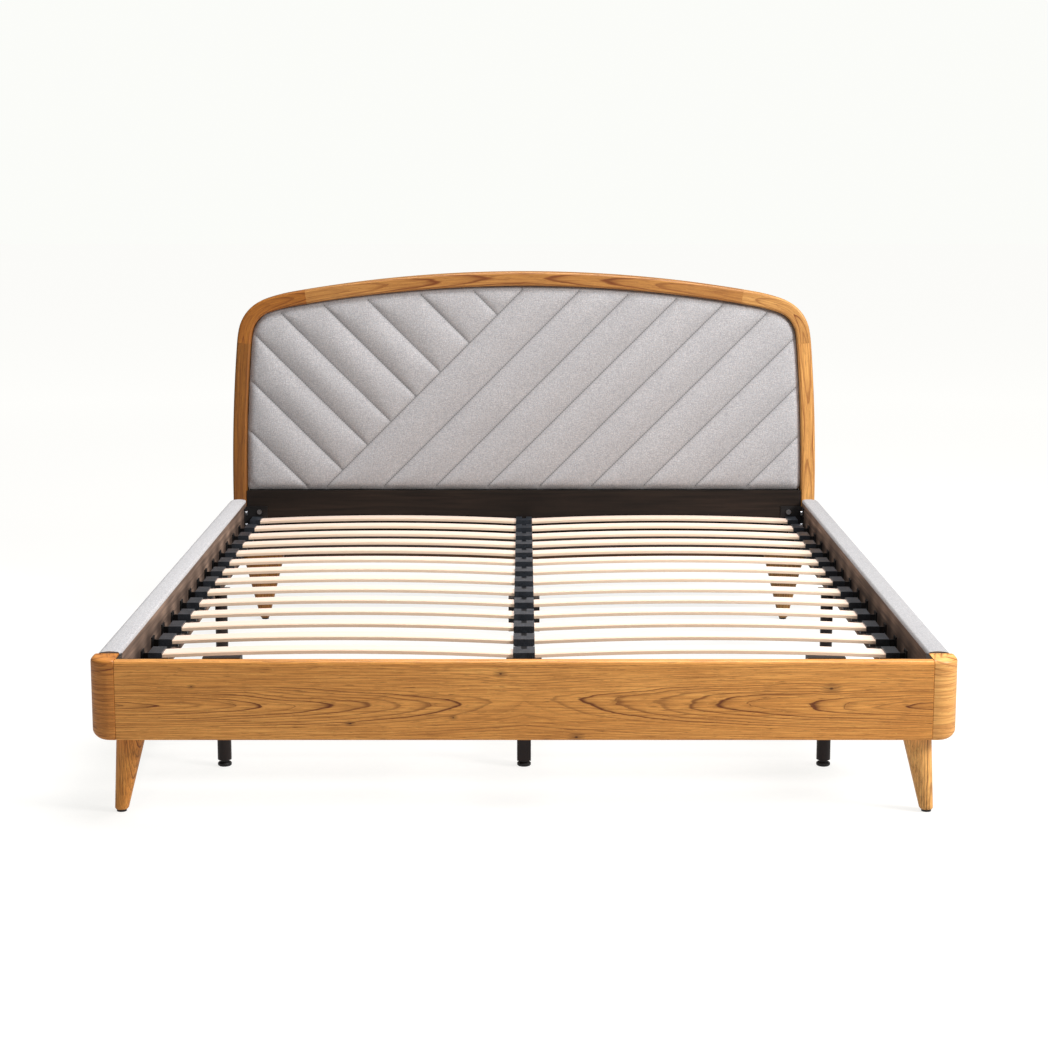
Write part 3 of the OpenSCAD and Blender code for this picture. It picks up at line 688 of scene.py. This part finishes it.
# Radii of the panel's long edges: low front, low back, high back, high front
PANEL_RADII = (0.0025, 0.002, 0.006, 0.008)
PANEL_END_BEVEL = 0.0009


def build_foot_panel():
    """The long oak panel between the corner posts, with softened edges."""
    depth, height = panel_high.y - panel_low.y, panel_high.z - panel_low.z
    section = rounded_rectangle(depth, height, PANEL_RADII, 6)
    stations = end_bevels(list(np.linspace(panel_low.x, panel_high.x, 60)), PANEL_END_BEVEL)
    rings, grain = [], []
    for x, cut in stations:
        ring = shrink(section, cut) if cut else section
        for a, b in ring:
            rings.append((x, panel_low.y + a, panel_low.z + b))
            grain.append((x, b - height / 2, a))
    look = oak("oak_foot_panel", 0.0, **PANEL_TONE, centre=-0.010, knots=KNOTS)
    piece = make_piece("foot_panel_oak", *loft(rings, len(stations)), look, "oak_panel", grain)
    ride(piece, "foot_panel")


# The corner post: radius of its plan, and how far its top and bottom draw in
POST_R = 0.046
POST_TOP_R = 0.009
POST_BOTTOM_R = 0.015
POST_EDGE = 0.0008
POST_LOG = 0.81


def post_plan():
    """The right post's plan, from its seam with the panel round to the rail."""
    x0, x1, y0, y1 = post_low.x, post_high.x, post_low.y, post_high.y
    plan = [(x0, y1), (x0, y0 + POST_EDGE), (x0 + POST_EDGE, y0)]
    plan += [(x1 - POST_R + POST_R * sin(a), y0 + POST_R - POST_R * cos(a))
             for a in np.linspace(0, pi / 2, 14)]
    return np.array([*plan, (x1, y1)])


def post_levels():
    """Heights of the post with how far each is drawn in, and whether it is the top."""
    z0, z1 = post_low.z, post_high.z
    levels = [(z0 + POST_BOTTOM_R * (1 - cos(a)), POST_BOTTOM_R * (1 - sin(a)), False)
              for a in np.linspace(0.02, pi / 2, 9)]
    levels += [(z, 0.0, False) for z in np.linspace(z0 + POST_BOTTOM_R, z1 - POST_TOP_R, 10)[1:-1]]
    levels += [(z1 - POST_TOP_R + POST_TOP_R * sin(a), POST_TOP_R * (1 - cos(a)), True)
               for a in np.linspace(0, pi / 2 - 0.02, 8)]
    return levels


def draw_in(x, y, inset, upper):
    """A point of the plan drawn in: the top on every side, the bottom at the outside only."""
    reach_x = (x - post_low.x) / (post_high.x - post_low.x)
    reach_y = 1.0
    if y >= post_low.y + POST_R:
        reach_y = max(0.0, (post_high.y - y) / (post_high.y - post_low.y - POST_R))
    inset_y = inset if upper else inset * 0.12
    on_rail = y >= post_high.y - 1e-6
    px = x - inset * (reach_x if upper else reach_x ** 2)
    py = y if on_rail else y + inset_y * reach_y
    return px, py, reach_y


def build_foot_post(side_name, side):
    """A corner post: its plan is a quarter round, drawn in along the top and the bottom."""
    plan, levels = post_plan(), post_levels()
    steps = np.linalg.norm(np.diff(plan, axis=0), axis=1)
    runs = np.concatenate([[0.0], np.cumsum(steps)])
    middle = (post_low.z + post_high.z) / 2
    rings, grain = [], []
    for z, inset, upper in levels:
        for (x, y), run in zip(plan, runs):
            px, py, reach_y = draw_in(x, y, inset, upper)
            rings.append((side * px, py, z))
            grain.append((side * (run + POST_LOG), z - middle, 0.004 * reach_y))
    look = oak(f"oak_foot_post_{side_name}", 8.0 + side, **FOOT_POST_TONE_AND_PAINTED_LIGHT[side_name],
               ring=0.0085, figure=0.22, centre=0.11, pith=0.03, half=0.95)
    piece = make_piece(f"foot_post_oak_{side_name}", *loft(rings, len(levels)), look, "oak_post", grain)
    ride(piece, f"foot_post_{side_name}")


# ---- oak legs


def leg_rings(stations, around=40):
    """Rings of a turned or squared leg. A station is (x, y, z, half width, half depth, power)."""
    rings = []
    for x, y, z, wide, deep, power in stations:
        for k in range(around):
            a = 2 * pi * k / around
            c, s = cos(a), sin(a)
            rings.append((
                x + wide * copysign(abs(c) ** (2 / power), c),
                y + deep * copysign(abs(s) ** (2 / power), s),
                z,
            ))
    return rings


# The arris at a leg's floor end, the bolt hole's reach in its top face, and a thin slice
LEG_ROUND = 0.004
BOLT_REACH = 0.009
SLICE = 0.002


def middle_and_half(points):
    """The middle of a set of points, and half its extent along each axis."""
    low, high = points.min(0), points.max(0)
    return (low + high) / 2, (high - low) / 2


def leg_ends(node):
    """Middle and half size of a CAD leg's top and floor faces."""
    co = np.array([v.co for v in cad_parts[node].data.vertices])
    z0, z1 = co[:, 2].min(), co[:, 2].max()
    top = co[co[:, 2] > z1 - SLICE]
    floor = co[co[:, 2] < z0 + SLICE]
    bolt_x = (top[:, 0].min() + top[:, 0].max()) / 2
    top = top[np.abs(top[:, 0] - bolt_x) > BOLT_REACH]
    return z0, z1, middle_and_half(top), middle_and_half(floor)


def build_leg(node, name, side, seed, power, tone):
    """A tapered oak leg between the CAD leg's top and bottom faces."""
    z0, z1, (top, top_half), (floor, floor_half) = leg_ends(node)
    places = [(z0, LEG_ROUND), (z0 + 0.0012, 0.0016), (z0 + LEG_ROUND, 0.0)]
    places += [(z, 0.0) for z in np.linspace(z0 + 0.012, z1 - LEG_ROUND, 18)]
    places += [(z1, 0.0)]
    stations = []
    for z, inset in places:
        t = (z - z0) / (z1 - z0)
        centre = floor + (top - floor) * t
        half = floor_half + (top_half - floor_half) * t - inset
        stations.append((centre[0], centre[1], z, half[0], half[1], power))
    points, faces = loft(leg_rings(stations), len(stations))
    grain = [(z - 0.08, x - side * abs(top[0]), y - top[1]) for x, y, z in points]
    look = oak(f"oak_{name}", seed, **tone, ring=0.0052, figure=0.05, centre=0.055, pith=0.03, half=0.2)
    ride(make_piece(name, points, faces, look, "oak_leg", grain), node)


# ---- slats


# Rise of a slat at its middle, and the parts of its ends that its holders keep level
SLAT_BOW = 0.009
HELD_INSIDE = 0.023
HELD_OUTSIDE = 0.012
SLAT_RADII = (0.0012, 0.0012, 0.0016, 0.0016)


def slat_rise(x, start, end):
    """How far a slat rises above its held ends, on a curve between them."""
    if not start < x < end:
        return 0.0
    share = (x - (start + end) / 2) / ((end - start) / 2)
    return SLAT_BOW * max(0.0, 1 - share ** 2)


def build_slats():
    """Bowed plywood slats with rounded long edges, two in each row."""
    looks = [birch(f"birch_{k + 1}", 1.0 + k) for k in range(5)]
    start, end = HELD_INSIDE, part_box("slat_holders_right")[0].x + HELD_OUTSIDE
    for row, node in enumerate(SLAT_ROWS):
        low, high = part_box(node)
        co = np.array([v.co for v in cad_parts[node].data.vertices])
        inner = co[:, 0][co[:, 0] > 0].min()
        lower_end = co[:, 2].min()
        thick = high.z - lower_end - SLAT_BOW
        section = rounded_rectangle(high.y - low.y, thick, SLAT_RADII, 3)
        places = [inner, *np.linspace(start, end, 36), high.x]
        for side_name, side in SIDES.items():
            rings, grain = [], []
            for x in places:
                for a, b in section:
                    rings.append((side * x, low.y + a, lower_end + b + slat_rise(x, start, end)))
                    grain.append((side * x, a, b / thick))
            skin = loft(rings, len(places))
            look = looks[(row * 2 + (side > 0)) % len(looks)]
            piece = make_piece(f"slat_{row + 1:02d}_{side_name}", *skin, look, "birch_slat", grain)
            ride(piece, node)


# ---- upholstery

# Seams of the pad, measured square to themselves from the slanting seam that divides it
SEAM_PITCH = 0.1068
CELLS = 20
GRID = SEAM_PITCH / CELLS
FIRST_CHANNEL = 22 * GRID
RIGHT_SEAMS = [FIRST_CHANNEL + k * SEAM_PITCH for k in range(8)]
LEFT_SEAMS = [0.554, 0.440, 0.321, 0.221, 0.117, 0.020, -0.083, -0.190]
DIVIDER = -0.936
ROOT2 = sqrt(2)
PUFF = 0.008

# How far behind the rim's front the seams and the edge lie, and the width of the edge's roll
PAD_SEAM_Y = HEAD_Y + 0.013
PAD_EDGE_Y = PAD_SEAM_Y + 0.008
PAD_EDGE_ROLL = 0.034
PAD_SIDE_GAP = 0.0008
PAD_FOOT_GAP = 0.0005


def pad_to_grid(x, z):
    """Distance right of the dividing seam, and distance along it."""
    return (x - z - DIVIDER) / ROOT2, (x + z) / ROOT2


def outline_distance(points, outline):
    """Distance from each point to a closed line, and the nearest place on it."""
    best = np.full(len(points), 1e9)
    place = np.zeros((len(points), 2))
    for a, b in zip(outline, np.roll(outline, -1, axis=0)):
        d = b - a
        length = float(d @ d)
        if length < 1e-12:
            continue
        t = np.clip(((points - a) @ d) / length, 0, 1)
        near = a + t[:, None] * d
        gap = np.linalg.norm(points - near, axis=1)
        closer = gap < best
        best[closer] = gap[closer]
        place[closer] = near[closer]
    return best, place


def inside(points, outline):
    """Whether each point lies inside a closed line."""
    x, z = points[:, 0], points[:, 1]
    found = np.zeros(len(points), bool)
    for (x0, z0), (x1, z1) in zip(outline, np.roll(outline, -1, axis=0)):
        if z0 == z1:
            continue
        crosses = (z0 > z) != (z1 > z)
        found ^= crosses & (x < (x1 - x0) * (z - z0) / (z1 - z0) + x0)
    return found


def swell(share, power=2.6, blunt=0.52):
    """The rise of padding from a seam, at 0, to the middle of a channel, at 1."""
    return (1 - (1 - np.clip(share, 0, 1)) ** power) ** blunt


def channel_share(q, r):
    """How far each point is from its nearest seam, as a share of half its channel's width,
    the plain distance to that seam, and the place along it."""
    right = np.array([0.0, *RIGHT_SEAMS, RIGHT_SEAMS[-1] + SEAM_PITCH])
    left = np.array(sorted([*LEFT_SEAMS, LEFT_SEAMS[0] + SEAM_PITCH, LEFT_SEAMS[-1] - SEAM_PITCH]))

    def nearest(value, seams):
        k = np.clip(np.searchsorted(seams, value) - 1, 0, len(seams) - 2)
        low, high = seams[k], seams[k + 1]
        gap = np.minimum(value - low, high - value)
        return np.abs(gap), np.clip(gap / ((high - low) / 2), 0, 1)

    gap_right, share_right = nearest(q, right)
    gap_left, share_left = nearest(r, left)
    cross = np.clip(-q / (SEAM_PITCH / 2), 0, 1)
    on_right = q >= 0
    share = np.where(on_right, swell(share_right), swell(share_left) * swell(cross * 1.35))
    gap = np.where(on_right, gap_right, np.minimum(gap_left, np.abs(q)))
    along = np.where(on_right, r, np.where(gap_left < np.abs(q), q, r))
    return share, gap, along


def pad_sheet(outline):
    """The front cloth of the pad on a grid that runs with its seams."""
    corners = np.array([pad_to_grid(x, z) for x, z in outline])
    i0, j0 = np.floor(corners.min(0) / GRID).astype(int) - 1
    i1, j1 = np.ceil(corners.max(0) / GRID).astype(int) + 1
    rows = np.arange(j0, j1 + 1) * GRID
    for seam in LEFT_SEAMS:
        rows[np.argmin(np.abs(rows - seam))] = seam
    q, r = np.meshgrid(np.arange(i0, i1 + 1) * GRID, rows, indexing="ij")
    x = (ROOT2 * (q + r) + DIVIDER) / 2
    z = (ROOT2 * (r - q) - DIVIDER) / 2
    flat = np.column_stack([x.ravel(), z.ravel()])
    within = np.where(inside(flat, outline))[0]
    kept = np.zeros(len(flat), bool)
    kept[within] = outline_distance(flat[within], outline)[0] > GRID * 0.35
    index = np.arange(q.size).reshape(q.shape)
    quads = np.column_stack([
        index[:-1, :-1].ravel(), index[1:, :-1].ravel(), index[1:, 1:].ravel(), index[:-1, 1:].ravel()
    ])
    quads = quads[kept[quads].all(axis=1)]
    used = np.unique(quads)
    renumber = np.full(len(flat), -1)
    renumber[used] = np.arange(len(used))
    return flat[used], renumber[quads]


def rim_loop(quads):
    """The points round the edge of a sheet, in order."""
    edges = {}
    for quad in quads:
        for a, b in zip(quad, np.roll(quad, -1)):
            key = (min(a, b), max(a, b))
            edges[key] = None if key in edges else (a, b)
    step = {a: b for a, b in filter(None, edges.values())}
    start = next(iter(step))
    loop, at = [start], step[start]
    while at != start:
        loop.append(at)
        at = step[at]
    return np.array(loop)


CLOTH = {
    "quality": 6, "mass": 0.3, "tension_stiffness": 18, "compression_stiffness": 18,
    "shear_stiffness": 8, "bending_stiffness": 0.8, "use_pressure": True, "uniform_pressure_force": 4.0,
    "vertex_group_mass": "sewn",
}
CLOTH_FRAMES = 20
CLOTH_CAP = 0.004


def add_cloth(piece):
    """Blender's cloth on a sheet, without gravity, held at its group of sewn points."""
    cloth = piece.modifiers.new("cloth", "CLOTH")
    for key, value in CLOTH.items():
        setattr(cloth.settings, key, value)
    cloth.settings.effector_weights.gravity = 0
    cloth.collision_settings.use_collision = False
    cloth.point_cache.frame_start = 1
    cloth.point_cache.frame_end = CLOTH_FRAMES
    return cloth


def inflate(piece, pinned):
    """Where the points of a sheet come to when it swells between its pinned seams."""
    rest = np.array([v.co for v in piece.data.vertices])
    group = piece.vertex_groups.new(name="sewn")
    group.add([int(i) for i in pinned], 1.0, "REPLACE")
    cloth = add_cloth(piece)
    scene = bpy.context.scene
    for number in range(1, CLOTH_FRAMES + 1):
        scene.frame_set(number)
    depsgraph = bpy.context.evaluated_depsgraph_get()
    swollen = piece.evaluated_get(depsgraph).to_mesh()
    co = np.array([v.co for v in swollen.vertices])
    piece.evaluated_get(depsgraph).to_mesh_clear()
    piece.modifiers.remove(cloth)
    piece.vertex_groups.remove(group)
    scene.frame_set(1)
    move = co - rest
    length = np.linalg.norm(move, axis=1)
    move *= (np.minimum(length, CLOTH_CAP) / np.maximum(length, 1e-9))[:, None]
    return rest + move


def pad_front(flat, quads, loop, outline):
    """The front of the pad, swollen between its seams, with each point's place by its seam."""
    edge_gap, _ = outline_distance(flat, outline)
    q, r = pad_to_grid(flat[:, 0], flat[:, 1])
    share, seam_gap, seam_run = channel_share(q, r)
    rim_share = swell(edge_gap / PAD_EDGE_ROLL, 2.0, 0.6)
    y = PAD_EDGE_Y - (PAD_EDGE_Y - PAD_SEAM_Y + PUFF * share) * rim_share
    front = np.column_stack([flat[:, 0], y, flat[:, 1]])
    sheet = make_piece("pad_sheet", front, quads, WEAVE_PAD, "pad_fabric")
    on_seam = np.where((seam_gap < GRID * 0.3) | (edge_gap < 1e-6))[0]
    if sheet.data.polygons[0].normal.y > 0:
        sheet.data.flip_normals()
    front = inflate(sheet, np.unique(np.concatenate([on_seam, loop])))
    bpy.data.objects.remove(sheet)
    return front, seam_gap, seam_run


def wrap_pad(front, quads, loop):
    """Points and faces of the whole pad. The cloth turns in behind the oak rim, down to the
    board, and the back is the same grid, laid flat."""
    rows, points, count = [loop], [front], len(front)
    for back in (0.004, 0.012, pad_high.y - PAD_EDGE_Y):
        ring = front[loop].copy()
        ring[:, 1] = np.minimum(PAD_EDGE_Y + back, pad_high.y)
        points.append(ring)
        rows.append(np.arange(count, count + len(loop)))
        count += len(loop)
    faces = [tuple(f) for f in quads]
    for a, b in zip(rows[:-1], rows[1:]):
        for k in range(len(loop)):
            m = (k + 1) % len(loop)
            faces.append((a[m], a[k], b[k], b[m]))
    spot = {int(a): int(b) for a, b in zip(loop, rows[-1])}
    others = [i for i in range(len(front)) if i not in spot]
    spot.update({i: count + k for k, i in enumerate(others)})
    back = front[others].copy()
    back[:, 1] = pad_high.y
    faces += [tuple(spot[int(i)] for i in quad[::-1]) for quad in quads]
    return np.vstack([*points, back]), faces


def build_pad():
    """The headboard pad: sewn channels in two directions that meet on a slanting seam."""
    outline = rim_outline(RIM_W + PAD_SIDE_GAP, pad_low.z + PAD_FOOT_GAP)
    flat, quads = pad_sheet(outline)
    loop = rim_loop(quads)
    _, flat[loop] = outline_distance(flat[loop], outline)
    front, seam_gap, seam_run = pad_front(flat, quads, loop, outline)
    points, faces = wrap_pad(front, quads, loop)
    grain = np.column_stack([points[:, 0], points[:, 2], points[:, 1]])
    seam = np.zeros_like(points)
    seam[:, 0] = 1.0
    seam[: len(front), 0] = seam_gap
    seam[: len(front), 1] = seam_run
    pad = make_piece("headboard_pad_cloth", points, faces, WEAVE_PAD, "pad_fabric", grain, seam)
    subdivide = pad.modifiers.new("smooth", "SUBSURF")
    subdivide.levels = 1
    subdivide.render_levels = 1
    subdivide.boundary_smooth = "PRESERVE_CORNERS"
    ride(pad, "headboard_pad")


# Radii of the rail cover, its crown, and how its two ends turn in
COVER_OUTER_R = 0.015
COVER_INNER_R = 0.005
COVER_UNDER_R = 0.004
COVER_CROWN = 0.0012
COVER_OFF_BOARD = 0.0003
COVER_HEAD_TURN = 0.014
COVER_FOOT_TURN = 0.003


def rail_cover_section(board_x, board_top):
    """The cover's section round the board of the right rail, clockwise from its low edge."""
    x0, x1, z0, z1 = cover_low.x, cover_high.x, cover_low.z, cover_high.z
    outer, inner, under = COVER_OUTER_R, COVER_INNER_R, COVER_UNDER_R
    section = [(board_x + COVER_OFF_BOARD, z0), (x1 - under, z0)]
    section += [(x1 - under + under * sin(a), z0 + under - under * cos(a))
                for a in np.linspace(0.2, pi / 2, 4)]
    section += [(x1 + COVER_CROWN * sin(pi * t), z0 + under + (z1 - outer - z0 - under) * t)
                for t in np.linspace(0.08, 0.94, 9)]
    section += [(x1 - outer + outer * cos(a), z1 - outer + outer * sin(a))
                for a in np.linspace(0, pi / 2, 9)]
    section += [(x0 + inner + (x1 - outer - x0 - inner) * t, z1 + COVER_CROWN * sin(pi * t))
                for t in np.linspace(0.85, 0.15, 5)]
    section += [(x0 + inner - inner * sin(a), z1 - inner + inner * cos(a))
                for a in np.linspace(0, pi / 2, 6)]
    top = board_top + COVER_OFF_BOARD
    section += [(x0, top), (board_x + COVER_OFF_BOARD, top)]
    return np.array(section)


def rail_cover_stations():
    """Places along the cover, with the share of its fullness that each keeps."""
    y0, y1 = cover_low.y, cover_high.y
    foot, head = COVER_FOOT_TURN, COVER_HEAD_TURN
    stations = [(y0 + foot * (1 - sin(a)), 1 - 0.10 * (1 - sin(a)))
                for a in np.linspace(0.12, pi / 2, 7)]
    stations += [(y, 1.0) for y in np.linspace(y0 + 0.02, y1 - head - 0.006, 70)]
    stations += [(y1 - head + head * sin(a), 1 - 0.30 * (1 - cos(a)))
                 for a in np.linspace(0, pi / 2, 9)[1:]]
    return stations


def build_rail_cover(side_name, side):
    """Padded cloth over a side rail: a full crown, and ends that turn in."""
    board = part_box("side_rail_right")[1]
    section = rail_cover_section(board.x, board.z)
    stations = rail_cover_stations()
    run = np.concatenate([[0], np.cumsum(np.linalg.norm(np.diff(section, axis=0), axis=1))])
    shoulder = cover_high.z - COVER_OUTER_R
    rings, grain = [], []
    for y, fullness in stations:
        for (x, z), length in zip(section, run):
            px = board.x + (x - board.x) * (fullness if x > board.x else 1.0)
            pz = z - (1 - fullness) * 0.012 if z > shoulder else z
            rings.append((side * px, y, pz))
            grain.append((length, y, 0.0))
    cloth = woven(f"grey_weave_rail_{side_name}", **RAIL_WEAVE_LIT_AND_SHADED[side_name], sheen=0.35)
    skin = loft(rings, len(stations))
    piece = make_piece(f"rail_cloth_{side_name}", *skin, cloth, "rail_fabric", grain)
    ride(piece, f"rail_cover_{side_name}")


# ---- CAD nodes that keep their shape


def dress_cad_nodes():
    """Materials of the CAD nodes that keep their shape, with the radius of their edges."""
    steel = coated_steel("black_powder_coat", srgb(22, 21, 22), srgb(42, 39, 39))
    tube = coated_steel("brown_powder_coat", srgb(34, 26, 25), srgb(52, 41, 38), 0.36)
    holder = moulded("slate_plastic", srgb(24, 26, 30), srgb(62, 68, 77), 0.34)
    black = moulded("black_plastic", srgb(16, 16, 17), srgb(30, 30, 32), 0.38)
    dust_cover = moulded("dust_cover", srgb(46, 46, 50), srgb(64, 64, 68), 0.85)
    # The rails' boards carry the painted slat shadows; the lower headboard panel has none
    board = dark_laminate("dark_laminate", srgb(46, 36, 32), srgb(172, 144, 126), 1.0)
    lower = dark_laminate("dark_laminate_head", srgb(18, 14, 12), srgb(46, 36, 30), 0.0)
    timber = plain_wood("dark_timber", srgb(58, 44, 38), srgb(36, 27, 23))
    pine = plain_wood("pine_block", srgb(206, 164, 112), srgb(168, 122, 74), "Z")
    strip = plain_wood("oak_strip", srgb(104, 72, 44), srgb(66, 44, 28))
    levellers = [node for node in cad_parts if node.startswith("leveller_")]
    for material, bevel, nodes in (
        (steel, 0.0008, ["slat_ledge_left", "slat_ledge_right", "centre_beam", "beam_hangers"]),
        (steel, 0.0008, ["cross_rail_foot", "corner_brackets", "support_leg_plates", "ledge_brackets"]),
        (tube, 0.0008, ["support_legs_foot", "support_legs_mid"]),
        (zinc("zinc_leg_bolt"), 0.0, ["oak_leg_bolts"]),
        (zinc("zinc_bracket_bolt"), 0.0008, ["bracket_bolts"]),
        (holder, 0.0016, ["slat_holders_left", "slat_holders_right"]),
        (holder, 0.0024, ["slat_holders_centre"]),
        (black, 0.0008, levellers),
        (black, 0.0006, ["oak_leg_glides"]),
        (dust_cover, 0.0, ["headboard_back_cover"]),
        (board, 0.0012, ["side_rail_left", "side_rail_right"]),
        (lower, 0.0012, ["headboard_lower_panel"]),
        (timber, 0.002, ["cross_rail_head"]),
        (pine, 0.0015, ["corner_blocks"]),
        (strip, 0.0015, ["headboard_bottom_rail"]),
        (chipboard("chipboard"), 0.0, ["headboard_backboard"]),
    ):
        for node in nodes:
            dress(node, material, bevel, 3 if material == holder else 2)


# ---- stage

FLOOR_SIZE = 60
LENS = 73.65
SENSOR = 36.0
CAMERA_DISTANCE = 4.1267
CAMERA_HEIGHT = 1.2895
CAMERA_TIP = 9.545


def floor_material():
    """A pale floor that glows a little, more so far away, and keeps soft shadows."""
    s = Shader("studio_floor")
    x, y, _ = s.split(s.object_point())
    far = (x * x + y * y).sqrt()
    direct = s.value("ShaderNodeLightPath", "Is Camera Ray")
    glow = s.levels(direct, 0.0, 1.0, 0.42, 1.0) * s.levels(far, 1.6, 7.0, 0.80, 0.92)
    emission = s.new("ShaderNodeEmission", Color=(1.0, 1.0, 0.975, 1.0), Strength=glow)
    diffuse = s.new("ShaderNodeBsdfDiffuse", Color=(0.24, 0.232, 0.232, 1.0))
    both = s.new("ShaderNodeAddShader")
    s.tree.links.new(emission.outputs[0], both.inputs[0])
    s.tree.links.new(diffuse.outputs[0], both.inputs[1])
    s.tree.links.new(both.outputs[0], s.tree.nodes["Material Output"].inputs[0])
    return s.mat


def build_floor():
    bpy.ops.mesh.primitive_plane_add(size=FLOOR_SIZE, location=(0, 0, cad_low.z))
    floor = bpy.context.object
    floor.name = "studio_floor"
    floor.data.materials.append(floor_material())


def build_world():
    """A pale backdrop, which lights the bed less than it shows."""
    world = bpy.data.worlds.new("studio")
    bpy.context.scene.world = world
    world.use_nodes = True
    tree = world.node_tree
    light, backdrop = tree.nodes["Background"], tree.nodes.new("ShaderNodeBackground")
    looks = (light, (1.0, 0.985, 0.965, 1.0), 0.20), (backdrop, (0.968, 0.975, 0.945, 1.0), 1.0)
    for node, colour, strength in looks:
        node.inputs["Color"].default_value = colour
        node.inputs["Strength"].default_value = strength
    path = tree.nodes.new("ShaderNodeLightPath")
    mix = tree.nodes.new("ShaderNodeMixShader")
    tree.links.new(path.outputs["Is Camera Ray"], mix.inputs[0])
    tree.links.new(light.outputs[0], mix.inputs[1])
    tree.links.new(backdrop.outputs[0], mix.inputs[2])
    tree.links.new(mix.outputs[0], tree.nodes["World Output"].inputs[0])


def area_light(name, place, target, size, power, colour=(1.0, 1.0, 1.0)):
    data = bpy.data.lights.new(name, "AREA")
    data.shape = "DISK"
    data.size = size
    data.energy = power
    data.color = colour
    light = bpy.data.objects.new(name, data)
    bpy.context.scene.collection.objects.link(light)
    light.location = place
    light.rotation_euler = (Vector(target) - Vector(place)).to_track_quat("-Z", "Y").to_euler()


def build_lights():
    area_light("key", (3.6, -2.1, 2.6), (0.3, 0.2, 0.35), 1.6, 215, (1.0, 0.985, 0.96))
    area_light("top", (0.5, 0.1, 4.2), (0.0, 0.1, 0.2), 3.0, 200)
    area_light("front", (1.6, -5.2, 2.2), (0.0, 0.0, 0.4), 2.5, 10)


def build_camera():
    """A normal lens in front of the foot end, above the headboard and tipped down a little."""
    data = bpy.data.cameras.new("view")
    data.sensor_width = SENSOR
    data.lens = LENS
    data.clip_end = 200.0
    camera = bpy.data.objects.new("view", data)
    bpy.context.scene.collection.objects.link(camera)
    camera.location = (0.0, cad_low.y - CAMERA_DISTANCE, cad_low.z + CAMERA_HEIGHT)
    camera.rotation_euler = (radians(90 - CAMERA_TIP), 0, 0)
    bpy.context.scene.camera = camera


# ---- build

build_camera()
bpy.context.scene.view_settings.view_transform = "Standard"
WEAVE_PAD = woven("grey_weave_pad", **WEAVE, stitched=True)
build_arch()
for side_name, side in SIDES.items():
    build_corner(side_name, side)
    build_rim_post(side_name, side)
build_foot_panel()
for side_name, side in SIDES.items():
    build_foot_post(side_name, side)
    for end, seed, power, tones in (("foot", 11.0, 2.2, FOOT_LEG_TONE_AND_PAINTED_LIGHT), ("head", 15.0, 5.0, HEAD_LEG_TONE_AND_PAINTED_LIGHT)):
        node, name = f"oak_leg_{end}_{side_name}", f"{end}_leg_{side_name}"
        build_leg(node, name, side, seed + side, power, tones[side_name])
    build_rail_cover(side_name, side)
build_slats()
build_pad()
dress_cad_nodes()
build_floor()
build_world()
build_lights()
